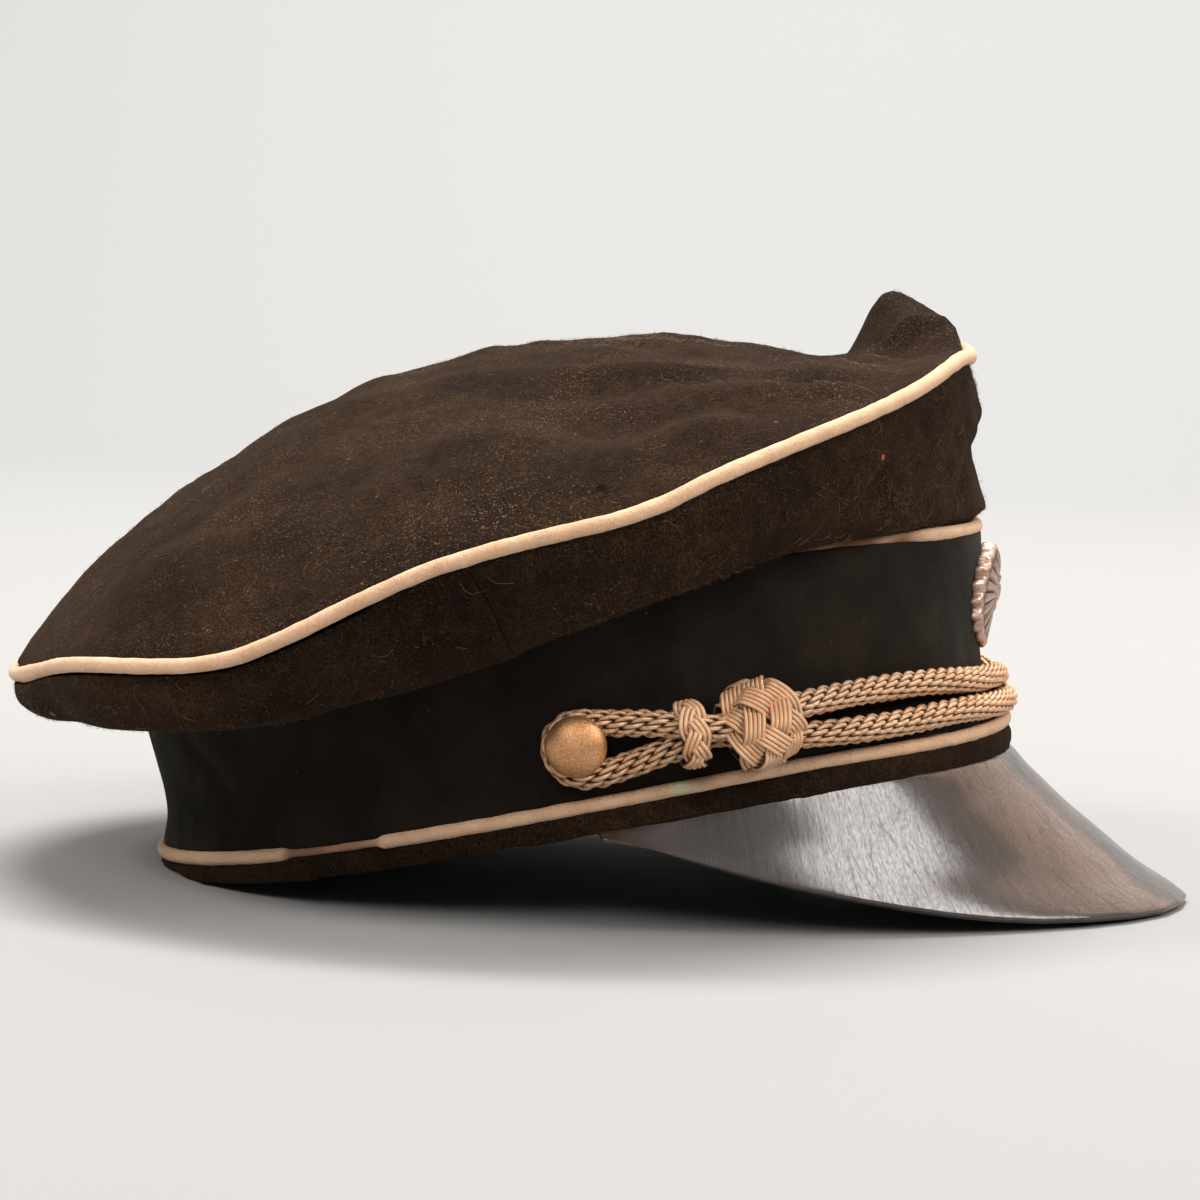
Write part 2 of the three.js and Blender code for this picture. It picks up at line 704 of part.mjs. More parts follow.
function buttonSolid() {
  return turned([
    { r: 0, z: GAP },
    { r: SHANK_RADIUS, z: GAP },
    { r: SHANK_RADIUS, z: BUTTON_BACK },
    ...dome.map(({ wide, high }) => ({ r: BUTTON_RADIUS * wide, z: BUTTON_BACK + BUTTON_RISE * high })),
  ]);
}

for (const [sideName, side] of [['right', -1], ['left', 1]]) {
  for (const knot of knots) {
    const before = placeOnBand(side, { ...knot, forward: knot.forward - 1 });
    const after = placeOnBand(side, { ...knot, forward: knot.forward + 1 });
    const mesh = addPiece(`${knot.name}_${sideName}`, knotBarrel(knot), 'cord');
    place(mesh, placeOnBand(side, knot), after.sub(before));
  }
  const base = bandPoint(side * BUTTON_TURN, 0, BUTTON_UP);
  const out = bandPoint(side * BUTTON_TURN, 5, BUTTON_UP).sub(base);
  place(addPiece(`button_${sideName}`, buttonSolid(), 'bronze'), base, out);
}

// Front badge: a fluted oval dome bent round the front of the band

const BADGE_TURNS = 40;
const BADGE_RINGS = [0, 0.45, 0.75, 0.93, 1];

function badgePoint(angle, share, out) {
  const flute = 1 + BADGE.flute * Math.cos(BADGE.flutes * angle) * share;
  const lateral = BADGE.halfWide * share * flute * Math.cos(angle);
  const up = BADGE.up + BADGE.halfHigh * share * flute * Math.sin(angle);
  return bandPoint(THREE.MathUtils.radToDeg(lateral / RIM_HALF_WIDTH), out, up);
}

function badgeSolid() {
  const width = BADGE_RINGS.length * 2;
  const front = (share) => GAP + THREE.MathUtils.lerp(BADGE.rim, BADGE.rise, Math.sqrt(1 - share ** 2));
  const points = [];
  const faces = [];
  for (let i = 0; i < BADGE_TURNS; i += 1) {
    const angle = (2 * Math.PI * i) / BADGE_TURNS;
    points.push(...BADGE_RINGS.map((share) => badgePoint(angle, share, front(share))));
    points.push(...BADGE_RINGS.toReversed().map((share) => badgePoint(angle, share, GAP)));
    const next = (i + 1) % BADGE_TURNS;
    for (let j = 0; j < width - 1; j += 1) {
      const [a, b] = [i * width + j, i * width + j + 1];
      const [c, d] = [next * width + j + 1, next * width + j];
      faces.push([a, b, c], [a, c, d]);
    }
  }
  return closedSolid(points, faces);
}

addPiece('front_badge', badgeSolid(), 'cord');

// The cap stands on Z = 0 with the middle of its outline over the origin
cap.updateMatrixWorld(true);
const outline = new THREE.Box3().setFromObject(cap, true);
const middle = outline.getCenter(new THREE.Vector3());
const group = new THREE.Group();
cap.position.set(-middle.x, -middle.y, -outline.min.z);
group.add(cap);

export default group;
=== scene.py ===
import math

import bpy
import numpy as np
from mathutils import Matrix, Vector
from mathutils.bvhtree import BVHTree


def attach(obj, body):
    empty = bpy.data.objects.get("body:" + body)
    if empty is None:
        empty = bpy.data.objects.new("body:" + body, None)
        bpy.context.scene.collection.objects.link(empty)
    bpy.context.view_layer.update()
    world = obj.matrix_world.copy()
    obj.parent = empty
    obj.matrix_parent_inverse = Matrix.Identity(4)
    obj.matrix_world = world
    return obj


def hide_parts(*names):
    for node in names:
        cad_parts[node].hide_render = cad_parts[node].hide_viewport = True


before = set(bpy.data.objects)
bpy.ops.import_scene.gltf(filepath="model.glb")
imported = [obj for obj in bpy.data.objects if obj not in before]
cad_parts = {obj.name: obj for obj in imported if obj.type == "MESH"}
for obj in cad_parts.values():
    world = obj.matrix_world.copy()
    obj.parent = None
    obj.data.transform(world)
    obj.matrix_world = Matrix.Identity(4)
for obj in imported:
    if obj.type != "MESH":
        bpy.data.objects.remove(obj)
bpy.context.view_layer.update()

# Studio: a pale floor that sweeps up behind the cap, soft square lights above it, round it and on the
# backdrop, and a camera a little above the floor at the cap's right side.

MM = 0.001
FLOOR_REACH = 6.0
SWEEP_START = 1.6
SWEEP_RADIUS = 1.2
SWEEP_HEIGHT = 4.0
CAMERA_TARGET = Vector((-0.5, 0.0, 66.2)) * MM
CAMERA_DISTANCE = 1.0
CAMERA_TURN = math.radians(5.0)
CAMERA_RISE = math.radians(5.0)
CAMERA_ROLL = math.radians(2.0)
CAMERA_LENS = 125.0
CAMERA_SENSOR = 36.0
FLOOR_TONE = (151, 151, 151)
WORLD_STRENGTH = 0.17
BACKDROP_AIM = Vector((0.0, 3.2, 0.9))


def colour(red, green, blue):
    """A screen colour, 0 to 255, as the linear colour that a shader takes."""
    linear = [((c / 255 + 0.055) / 1.055) ** 2.4 if c > 10 else c / 255 / 12.92 for c in (red, green, blue)]
    return (*linear, 1.0)


def deselect():
    bpy.ops.object.select_all(action="DESELECT")


def added(add, **settings):
    """The new object that one of Blender's add tools makes, with nothing else selected."""
    deselect()
    add(**settings)
    return bpy.context.object


def edit_all():
    """Starts edit mode with the whole mesh selected."""
    bpy.ops.object.mode_set(mode="EDIT")
    bpy.ops.mesh.select_all(action="SELECT")


def plain_material(name, base, roughness):
    material = bpy.data.materials.new(name)
    material.use_nodes = True
    shader = material.node_tree.nodes["Principled BSDF"]
    shader.inputs["Base Color"].default_value = base
    shader.inputs["Roughness"].default_value = roughness
    return material


floor = added(bpy.ops.mesh.primitive_plane_add, size=2 * FLOOR_REACH)
floor.name = "floor"
edit_all()
bpy.ops.mesh.bisect(plane_co=(0, SWEEP_START, 0), plane_no=(0, 1, 0), clear_outer=True)
bpy.ops.mesh.select_all(action="DESELECT")
bpy.ops.object.mode_set(mode="OBJECT")
for edge in floor.data.edges:
    ends = [floor.data.vertices[i].co.y for i in edge.vertices]
    edge.select = min(ends) > SWEEP_START - MM
bpy.ops.object.mode_set(mode="EDIT")
bpy.ops.mesh.spin(
    steps=24, angle=math.radians(-90), center=(0, SWEEP_START, SWEEP_RADIUS), axis=(1, 0, 0)
)
bpy.ops.mesh.extrude_region_move(TRANSFORM_OT_translate={"value": (0, 0, SWEEP_HEIGHT)})
bpy.ops.object.mode_set(mode="OBJECT")
bpy.ops.object.shade_smooth()
floor.data.materials.append(plain_material("pale_floor", colour(*FLOOR_TONE), 0.9))

world = bpy.data.worlds.new("studio")
world.use_nodes = True
world.node_tree.nodes["Background"].inputs["Color"].default_value = (1.0, 1.0, 1.0, 1.0)
world.node_tree.nodes["Background"].inputs["Strength"].default_value = WORLD_STRENGTH
bpy.context.scene.world = world

for name, place, size, power, tint in (
    ("overhead_light", (-0.1, 0.2, 1.6), 0.8, 16.0, (1.0, 0.97, 0.94)),
    ("front_right_light", (1.11, -0.43, 1.0), 0.82, 14.0, (1.0, 0.96, 0.93)),
    ("front_left_light", (0.98, 0.95, 0.95), 1.1, 5.0, (1.0, 0.68, 0.5)),
    ("rear_right_light", (-1.1, -0.5, 1.15), 0.5, 12.5, (1.0, 0.94, 0.88)),
    ("near_light", (-0.15, -1.25, 0.95), 0.6, 7.5, (1.0, 0.96, 0.92)),
    ("backdrop_light", (0.0, 1.0, 3.0), 1.6, 212.0, (1.0, 0.99, 0.97)),
):
    light = added(bpy.ops.object.light_add, type="AREA", location=place)
    light.name = name
    light.data.shape = "SQUARE"
    light.data.size = size
    light.data.energy = power
    light.data.color = tint
    aim = BACKDROP_AIM if name == "backdrop_light" else CAMERA_TARGET
    light.rotation_euler = (Vector(place) - aim).to_track_quat("Z", "Y").to_euler()

back = Vector((
    math.sin(CAMERA_TURN) * math.cos(CAMERA_RISE),
    -math.cos(CAMERA_TURN) * math.cos(CAMERA_RISE),
    math.sin(CAMERA_RISE),
))
level = Vector((0, 0, 1)).cross(back).normalized()
upright = back.cross(level)
right = level * math.cos(CAMERA_ROLL) + upright * math.sin(CAMERA_ROLL)
up = back.cross(right)
camera = added(bpy.ops.object.camera_add, location=CAMERA_TARGET + back * CAMERA_DISTANCE)
camera.data.lens = CAMERA_LENS
camera.data.sensor_width = CAMERA_SENSOR
camera.data.clip_start = 0.01
camera.rotation_euler = Matrix((right, up, back)).transposed().to_euler()
bpy.context.scene.camera = camera
bpy.context.scene.view_settings.view_transform = "Standard"

# Crown top: the panel of napped wool that slumps from the cap's high front down to its back. It is
# the CAD panel with its corners rounded and its small dents pressed in, and its edge is drawn into
# the piping seam.

CROWN_MIDDLE_X = -27.9
EDGE_STEPS = 72
EDGE_OUT, EDGE_HEIGHT = 1, 2
BORDER_CREASE = 0.5
REAR_DRAW, REAR_FROM, REAR_TO = 2.1, 86, 112
TOP_EDGE_DRAW = 0.7
RELAX_ROUNDS = 14
DENT_COLUMNS = ("x", "y", "rise", "long", "wide", "turn")
TOP_HUMP_ROWS = (
    (63.0, 43.0, 5.4, 15, 7.5, 104),
    (79.0, 26.0, 5.4, 17, 9, 112),
    (55.6, 44.0, -6.5, 20, 4.4, 104),
    (67.0, 20.0, 2.2, 13, 2.4, 15),
    (-132.0, -8.0, 2.4, 6, 40, 0),
)
TOP_DENT_ROWS = (
    (-22.0, 15.0, -1.4, 24, 45, 0),
    (40.0, 15.0, -1.6, 22, 40, 0),
    (-76.0, 10.0, 1.5, 20, 45, 0),
    (-77.8, -55.1, -1.8, 16, 7, 60),
    (-69.9, -97.0, -2.2, 12, 7, 20),
    (-30.4, -100.7, -2.4, 7, 13, 80),
    (14.0, -78.0, -3.6, 15, 8, 12),
    (30.0, -85.0, 2.2, 9, 6, 20),
    (1.0, -58.0, -2.2, 15, 6, 0),
    (12.0, -48.0, 2.0, 28, 4, -12),
    (53.1, -50.5, -2.6, 24, 6, 12),
    (52.0, -62.5, 2.2, 22, 5, 12),
    (30.0, -62.0, 1.2, 12, 8, 60),
    (70.0, -52.0, -1.4, 9, 4, 40),
    (8.2, -102.7, -0.6, 5, 3, 40),
    (72.0, 30.0, -1.6, 16, 3.5, 118),
    (64.0, 22.0, -1.2, 14, 3.0, 115),
    (-100.0, -40.0, -1.2, 14, 6, 70),
    (-40.0, 20.0, -1.2, 30, 16, 30),
    (20.0, 60.0, -1.6, 26, 9, -20),
    (-70.0, 80.0, 1.2, 18, 8, 40),
)


def make_active(piece):
    deselect()
    piece.select_set(True)
    bpy.context.view_layer.objects.active = piece


def cad_copy(node, name, levels):
    """A CAD piece's own copy: corners merged, triangles paired, and rounded by subdivision, with its
    borders kept nearly square."""
    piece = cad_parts[node].copy()
    piece.data = piece.data.copy()
    piece.parent = None
    for key in list(piece.keys()):
        del piece[key]
    bpy.context.scene.collection.objects.link(piece)
    piece.name = piece.data.name = name
    piece.data.materials.clear()
    make_active(piece)
    bpy.ops.mesh.customdata_custom_splitnormals_clear()
    edit_all()
    bpy.ops.mesh.remove_doubles(threshold=0.002 * MM)
    bpy.ops.mesh.tris_convert_to_quads(face_threshold=math.radians(50), shape_threshold=math.radians(80))
    bpy.ops.mesh.select_all(action="DESELECT")
    bpy.ops.mesh.edges_select_sharp(sharpness=math.radians(65))
    bpy.ops.transform.edge_crease(value=BORDER_CREASE)
    bpy.ops.object.mode_set(mode="OBJECT")
    rounding = piece.modifiers.new("rounding", "SUBSURF")
    rounding.levels = rounding.render_levels = levels
    bpy.ops.object.modifier_apply(modifier=rounding.name)
    bpy.ops.object.shade_smooth()
    return piece


def points_of(piece):
    """A mesh's points, in millimetres."""
    flat = np.empty(len(piece.data.vertices) * 3)
    piece.data.vertices.foreach_get("co", flat)
    return flat.reshape(-1, 3) / MM


def normals_of(piece):
    flat = np.empty(len(piece.data.vertices) * 3)
    piece.data.vertex_normals.foreach_get("vector", flat)
    return flat.reshape(-1, 3)


def set_points(piece, points):
    piece.data.vertices.foreach_set("co", (points * MM).ravel())
    piece.data.update()


def ripples(points, wavelength, seed, waves=16):
    """A smooth random field over points in millimetres, mostly between -1 and 1."""
    rng = np.random.default_rng(seed)
    ways = rng.normal(size=(waves, 3))
    ways /= np.linalg.norm(ways, axis=1, keepdims=True)
    ways *= 2 * math.pi / (wavelength * rng.uniform(0.7, 1.5, size=(waves, 1)))
    return np.sin(points @ ways.T + rng.uniform(0, 2 * math.pi, waves)).sum(axis=1) / math.sqrt(waves)


def named(columns, rows):
    """The rows of a table, each by the names of its columns."""
    return [dict(zip(columns, row)) for row in rows]


def dent_rise(points, rows):
    """Height of a table of soft dents and ridges, each an oval seen from above."""
    rise = np.zeros(len(points))
    for dent in named(DENT_COLUMNS, rows):
        turn = math.radians(dent["turn"])
        dx, dy = points[:, 0] - dent["x"], points[:, 1] - dent["y"]
        along = (dx * math.cos(turn) + dy * math.sin(turn)) / dent["long"]
        across = (dy * math.cos(turn) - dx * math.sin(turn)) / dent["wide"]
        rise += dent["rise"] * np.exp(-(along**2) - across**2)
    return rise


def smoothstep(low, high, value):
    t = np.clip((value - low) / (high - low), 0, 1)
    return t * t * (3 - 2 * t)


def crown_polar(points):
    """Turn round the crown's middle, in degrees, and distance from it."""
    x, y = points[:, 0] - CROWN_MIDDLE_X, points[:, 1]
    return np.degrees(np.arctan2(y, x)) % 360, np.hypot(x, y)


def ring_centres(node):
    """Middle line of the CAD tube round the crown: turn, distance out and height of each ring."""
    points = points_of(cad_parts[node])
    turn, out = crown_polar(points)
    ring = np.rint(turn / (360 / EDGE_STEPS)).astype(int) % EDGE_STEPS
    return np.array([
        (i * 360 / EDGE_STEPS, out[ring == i].mean(), points[ring == i, 2].mean()) for i in range(EDGE_STEPS)
    ])


edge_line = ring_centres("crown_piping")


def edge_at(turn, column):
    """Distance out or height of the crown's edge at each turn."""
    return np.interp(turn, edge_line[:, 0], edge_line[:, column], period=360)


def rear_draw(points):
    """How far the crown's back is drawn out to the piping, 0 from its middle forwards."""
    return REAR_DRAW * smoothstep(REAR_FROM, REAR_TO, -points[:, 0])


def facing(turn):
    """Level directions at turns in degrees."""
    return np.column_stack([np.cos(np.radians(turn)), np.sin(np.radians(turn)), 0 * turn])


def push_out(points, turn, amounts):
    """Moves points level, each in the direction of its turn."""
    points += facing(turn) * amounts[:, None]


def feed(node, inputs):
    """Sets a node's inputs, by name or number: another node's output is linked, a value is put in."""
    for key, value in inputs.items():
        if isinstance(value, bpy.types.NodeSocket):
            node.id_data.links.new(value, node.inputs[key])
        else:
            node.inputs[key].default_value = value


def put(tree, kind, inputs, output=0, **settings):
    """The output of a new node in a tree, after its settings are made and its inputs fed."""
    node = tree.nodes.new(f"ShaderNode{kind}")
    for key, value in settings.items():
        setattr(node, key, value)
    feed(node, inputs)
    return node.outputs[output]


def calc(tree, operation, *values, clamp=False):
    """An operation on numbers and outputs."""
    return put(tree, "Math", dict(enumerate(values)), operation=operation, use_clamp=clamp)


def spread(tree, value, low, high, to_low=0.0, to_high=1.0, way="LINEAR"):
    """A value carried from one range to another."""
    inputs = {"Value": value, "From Min": low, "From Max": high, "To Min": to_low, "To Max": to_high}
    return put(tree, "MapRange", inputs, interpolation_type=way)


def mix(tree, share, first, second, way="MIX"):
    """Two colours mixed, or blended in another way."""
    inputs = {"Factor": share, "A": first, "B": second}
    return put(tree, "Mix", inputs, "Result", data_type="RGBA", blend_type=way)


def object_place(tree):
    return put(tree, "TexCoord", {}, "Object")


def scale_for(tree, size):
    """A texture's scale for a size in millimetres."""
    return calc(tree, "DIVIDE", 1 / MM, size)


def object_noise(tree, size, detail, roughness):
    inputs = {"Vector": object_place(tree), "Scale": scale_for(tree, size), "Detail": detail}
    return put(tree, "TexNoise", {**inputs, "Roughness": roughness})


FLOAT, COLOUR, VECTOR = "NodeSocketFloat", "NodeSocketColor", "NodeSocketVector"
GREY = (0.5, 0.5, 0.5, 1.0)


def node_group(name, result, kind, inputs):
    """An empty shader group with named inputs and one result, the inputs' ends in it and the node
    that takes the result."""
    group = bpy.data.node_groups.new(name, "ShaderNodeTree")
    for label, (socket, value) in inputs.items():
        group.interface.new_socket(name=label, in_out="INPUT", socket_type=socket).default_value = value
    group.interface.new_socket(name=result, in_out="OUTPUT", socket_type=kind)
    return group, group.nodes.new("NodeGroupInput").outputs, group.nodes.new("NodeGroupOutput")


def mottle_group():
    """Two colours mixed in soft patches of a size in millimetres."""
    group, given, made = node_group("mottle", "Color", COLOUR, {
        "Dark": (COLOUR, GREY), "Light": (COLOUR, GREY), "Size": (FLOAT, 20.0), "Lean": (FLOAT, 0.5),
    })
    low, high = (calc(group, way, given["Lean"], 0.2) for way in ("SUBTRACT", "ADD"))
    share = spread(group, object_noise(group, given["Size"], 5.0, 0.62), low, high)
    feed(made, {"Color": mix(group, share, given["Dark"], given["Light"])})
    return group


def grain_group():
    """Fine even variation of a size in millimetres, from one value to another."""
    group, given, made = node_group("grain", "Value", FLOAT, {
        "Size": (FLOAT, 0.5), "Low": (FLOAT, 0.6), "High": (FLOAT, 1.5),
    })
    noise = object_noise(group, given["Size"], 3.0, 0.65)
    feed(made, {"Value": spread(group, noise, 0.28, 0.72, given["Low"], given["High"])})
    return group


def speck_group():
    """Small scattered specks of lint: a mask from one cell in a few, of a size in millimetres."""
    group, given, made = node_group("specks", "Mask", FLOAT, {
        "Size": (FLOAT, 1.5), "Share": (FLOAT, 0.1), "Width": (FLOAT, 0.2),
    })
    place = object_place(group)
    warp = put(group, "TexNoise", {"Vector": place, "Scale": 900.0, "Detail": 1.0}, "Color")
    warped = put(group, "VectorMath", {0: warp, 1: (1.2 * MM,) * 3, 2: place}, operation="MULTIPLY_ADD")
    cells = {"Vector": warped, "Scale": scale_for(group, given["Size"])}
    cells = put(group, "TexVoronoi", cells).node.outputs
    near = spread(group, cells["Distance"], 0.0, given["Width"], 1.0, 0.0)
    few = calc(group, "LESS_THAN", put(group, "SeparateColor", {"Color": cells["Color"]}), given["Share"])
    feed(made, {"Mask": calc(group, "MULTIPLY", few, near)})
    return group


def nap_group():
    """Height of a napped or felted surface: fine grain over soft clumps, sizes in millimetres."""
    group, given, made = node_group("nap", "Height", FLOAT, {
        "Grain": (FLOAT, 0.5), "Clumps": (FLOAT, 4.0), "Clump Share": (FLOAT, 0.5),
    })
    fine = object_noise(group, given["Grain"], 3.0, 0.6)
    clumps = object_noise(group, given["Clumps"], 2.0, 0.6)
    feed(made, {"Height": calc(group, "MULTIPLY_ADD", clumps, given["Clump Share"], fine)})
    return group


def spot_group():
    """A ragged spot round a place on the object: a mask, from a size in millimetres."""
    group, given, made = node_group("spot", "Mask", FLOAT, {
        "Place": (VECTOR, (0.0, 0.0, 0.0)), "Size": (FLOAT, 1.0), "Ragged": (FLOAT, 0.5),
    })
    place = object_place(group)
    away = put(group, "VectorMath", {0: place, 1: given["Place"]}, "Value", operation="DISTANCE")
    rag = put(group, "TexNoise", {"Vector": place, "Scale": 650.0, "Detail": 3.0})
    reach = calc(group, "MULTIPLY_ADD", away, 1 / MM, calc(group, "MULTIPLY", rag, given["Ragged"]))
    ratio = calc(group, "DIVIDE", reach, given["Size"])
    feed(made, {"Mask": spread(group, ratio, 0.75, 1.15, 1.0, 0.0)})
    return group


mottle, grain, spot, specks, nap = mottle_group(), grain_group(), spot_group(), speck_group(), nap_group()


def put_group(tree, group, **values):
    """The result of a group with its own values."""
    inputs = {socket.replace("_", " "): value for socket, value in values.items()}
    return put(tree, "Group", inputs, node_tree=group)


def new_material(name, tones, patches, lean, roughness, **constants):
    """A material with its shader's own constants set: it, its tree, its shader and its two tones in
    patches of a size, leaning to one tone or the other."""
    material = plain_material(name, tones[0], roughness)
    tree, shader = material.node_tree, material.node_tree.nodes["Principled BSDF"]
    feed(shader, {socket.replace("_", " "): value for socket, value in constants.items()})
    patches = put_group(tree, mottle, Dark=tones[0], Light=tones[1], Size=patches, Lean=lean)
    return material, tree, shader, patches


def put_bumps(tree, shader, *layers, strength=1.0):
    """Bumps from heights and their depths in millimetres, each over the one before it."""
    under = {}
    for height, depth in layers:
        bump = {"Strength": strength, "Distance": depth * MM, "Height": height, **under}
        under = {"Normal": put(tree, "Bump", bump)}
    feed(shader, under)


WOOL_TONES = (colour(20, 13, 8), colour(43, 30, 18))
LINT_TONE = colour(146, 114, 84)
MARK_COLUMNS = ("x", "y", "z", "size", "ragged", "red", "green", "blue")
WOOL_MARKS = (
    # The first mark is a moth hole, its opening painted near black as the shade inside the crown.
    (8.2, -102.7, 99.6, 2.6, 2.4, 5, 4, 3),
    (67.0, -67.4, 106.6, 1.1, 0.7, 200, 110, 56),
    (-121.7, -52.0, 39.2, 1.2, 0.8, 188, 104, 52),
    (56.5, -66.0, 86.5, 2.6, 2.4, 150, 86, 46),
    (60.0, -63.5, 88.0, 2.0, 2.2, 170, 100, 56),
    (50.5, -70.5, 85.0, 2.2, 2.4, 128, 74, 42),
)


def put_marks(tree, base, marks):
    """A colour with small marks over it, from a table of places and colours."""
    for mark in named(MARK_COLUMNS, marks):
        place = tuple(mark[axis] * MM for axis in "xyz")
        mask = put_group(tree, spot, Place=place, Size=mark["size"], Ragged=mark["ragged"])
        base = mix(tree, mask, base, colour(mark["red"], mark["green"], mark["blue"]))
    return base


def wool_material(name, dust_and_lightness):
    """Dark wool in patches, with lint and fine dust on a share of it, the share also painting light and
    shade.
    """
    material, tree, shader, patches = new_material(
        name, WOOL_TONES, 30.0, 0.52, 0.95, Sheen_Weight=0.05, Sheen_Roughness=0.5,
        Sheen_Tint=colour(210, 160, 118), Specular_IOR_Level=0.08,
    )
    clumps = put_group(tree, grain, Size=3.5, Low=0.6, High=1.4)
    fuzz = put_group(tree, grain, Size=0.55, Low=0.0, High=2.3)
    dust = put_group(tree, specks, Size=2.6, Share=0.10, Width=0.16)
    flecks = put_group(tree, specks, Size=0.6, Share=0.4, Width=0.4)
    dusty = put_group(tree, grain, Size=26.0, Low=-0.5, High=1.7)
    dusty = calc(tree, "MULTIPLY", flecks, dusty, clamp=True)
    share = calc(tree, "MULTIPLY", calc(tree, "ADD", dusty, dust, clamp=True), dust_and_lightness)
    cloth = mix(tree, 1.0, mix(tree, 1.0, patches, clumps, "MULTIPLY"), fuzz, "MULTIPLY")
    feed(shader, {"Base Color": put_marks(tree, mix(tree, share, cloth, LINT_TONE), WOOL_MARKS)})
    put_bumps(tree, shader, (put_group(tree, nap, Grain=0.45, Clumps=2.6, Clump_Share=0.6), 0.55))
    return material


# Painted light and shade: the top's wool has more dust than the sides' and welt's, partly real dust on top
# and partly painted so the top reads lit and the sides and welt darker, as in shade.
wool, side_wool_dust_and_shade = wool_material("napped_wool", 0.65), wool_material("napped_wool_side_dust_and_shade", 0.22)


def finish_piece(piece, material, slot, *nodes):
    """The last calls for each piece: its material, its body and the nodes it stands for; its slot is not
    used.
    """
    piece.data.materials.clear()
    piece.data.materials.append(material)
    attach(piece, "root")
    if nodes:
        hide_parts(*nodes)


def relaxed(piece, points, rounds):
    """Points of a mesh after each has moved part way to its neighbours' middle a few times."""
    ends = np.empty(len(piece.data.edges) * 2, dtype=int)
    piece.data.edges.foreach_get("vertices", ends)
    a, b = ends.reshape(-1, 2).T
    count = np.bincount(a, minlength=len(points)) + np.bincount(b, minlength=len(points))
    for _ in range(rounds):
        total = np.zeros_like(points)
        np.add.at(total, a, points[b])
        np.add.at(total, b, points[a])
        points = 0.4 * points + 0.6 * total / count[:, None]
    return points


crown_top = cad_copy("crown_top", "crown_top_panel", 2)
points = points_of(crown_top)
turn, out = crown_polar(points)
from_edge = out - edge_at(turn, EDGE_OUT)
points += (relaxed(crown_top, points, RELAX_ROUNDS) - points) * (1 - smoothstep(-6, -1.5, from_edge))[:, None]
inside, free = 1 - smoothstep(-14, -2, from_edge), 1 - smoothstep(-3.5, -0.2, from_edge)
points[:, 2] += dent_rise(points, TOP_DENT_ROWS) * inside
points[:, 2] += dent_rise(points, TOP_HUMP_ROWS) * free
points[:, 2] += (0.55 * ripples(points, 24, 11) + 0.25 * ripples(points, 10, 12)) * inside
draw = TOP_EDGE_DRAW * smoothstep(-6, -2, from_edge) + rear_draw(points) * smoothstep(-12, -1, from_edge)
push_out(points, turn, draw)
set_points(crown_top, points)
finish_piece(crown_top, wool, "wool", "crown_top")

# Crown sides: four quarter panels of the same wool, sewn end to end, that droop over the band and
# turn up to the piping. Their low folds are soft and a little wrinkled, and the front right quarter
# has a slanting crease where the front stands up.

SIDE_QUARTERS = (("front_left", 44), ("rear_left", 134), ("rear_right", 227), ("front_right", 317))
SIDE_EDGE_DRAW = 1.0
SIDE_REACH = 0.0035
SIDE_FOOT_DRAW = 1.0
SIDE_FOOT_TUCK = 1.1
CROWN_FOOT = 4.1
SIDE_DROOP, DROOP_FROM, DROOP_TO = 2.2, 98, 124
FOLD_COLUMNS = ("depth", "wide", "line")
SIDE_FOLDS = (
    (-1.5, 2.2, ((88.5, -2.0, 106.5), (86.0, -16.0, 103.0), (84.6, -26.0, 97.6))),
    (1.3, 3.4, ((89.0, 0.0, 114.0), (86.0, -19.0, 110.0), (83.0, -32.0, 104.0))),
    (-1.2, 2.4, ((57.8, -73.9, 91.7), (62.6, -70.2, 96.6), (66.9, -65.9, 101.4))),
    (1.0, 3.2, ((55.0, -77.0, 96.5), (59.5, -74.0, 101.5), (64.0, -70.0, 106.5))),
)
OUTLINE_SHIFT_X = -1.933
RIM_TILT = math.radians(11.46)
RIM_MIDDLE = (-1.38 + OUTLINE_SHIFT_X, 0.0, 23.23)
RIM_HALF_LENGTH, RIM_HALF_WIDTH = 102.45, 84.0
RIM_SIDE_BOW, RIM_FRONT_BOW = 2.4, 3.1
BAND_TOP, BAND_SIDE_RISE = 43.2, 5.0


def unit(vectors):
    return vectors / np.linalg.norm(vectors, axis=-1, keepdims=True)


def rim_bow(c, s):
    """How far the rim is bowed up, from its turn's cosine and sine."""
    return (RIM_SIDE_BOW + RIM_FRONT_BOW * c) * s * s


def rim_points(turn, out, height):
    """Points at turns of the head's rim, in degrees, so far out from it and so high above it."""
    c, s = np.cos(np.radians(turn)), np.sin(np.radians(turn))
    along, rise = (RIM_HALF_LENGTH + out) * c, height + rim_bow(c, s)
    return np.stack([
        RIM_MIDDLE[0] + along * math.cos(RIM_TILT) - rise * math.sin(RIM_TILT),
        RIM_MIDDLE[1] + (RIM_HALF_WIDTH + out) * s,
        RIM_MIDDLE[2] + along * math.sin(RIM_TILT) + rise * math.cos(RIM_TILT),
    ], axis=-1)


def rim_place(points):
    """The rim's turn nearest to each point, in degrees, and the point's height above the rim."""
    x, z = points[:, 0] - RIM_MIDDLE[0], points[:, 2] - RIM_MIDDLE[2]
    along = x * math.cos(RIM_TILT) + z * math.sin(RIM_TILT)
    turn = np.arctan2(points[:, 1] / RIM_HALF_WIDTH, along / RIM_HALF_LENGTH)
    height = z * math.cos(RIM_TILT) - x * math.sin(RIM_TILT)
    return np.degrees(turn), height - rim_bow(np.cos(turn), np.sin(turn))


def band_top(turn):
    return BAND_TOP + BAND_SIDE_RISE * np.sin(np.radians(turn)) ** 2


def draw_up(points, amounts):
    """Moves points so far along the rim's upward direction."""
    points[:, 0] -= amounts * math.sin(RIM_TILT)
    points[:, 2] += amounts * math.cos(RIM_TILT)


def swell(points, amounts):
    """Moves points level, away from the middle of the rim."""
    points[:, :2] += unit(points[:, :2] - RIM_MIDDLE[:2]) * amounts[:, None]


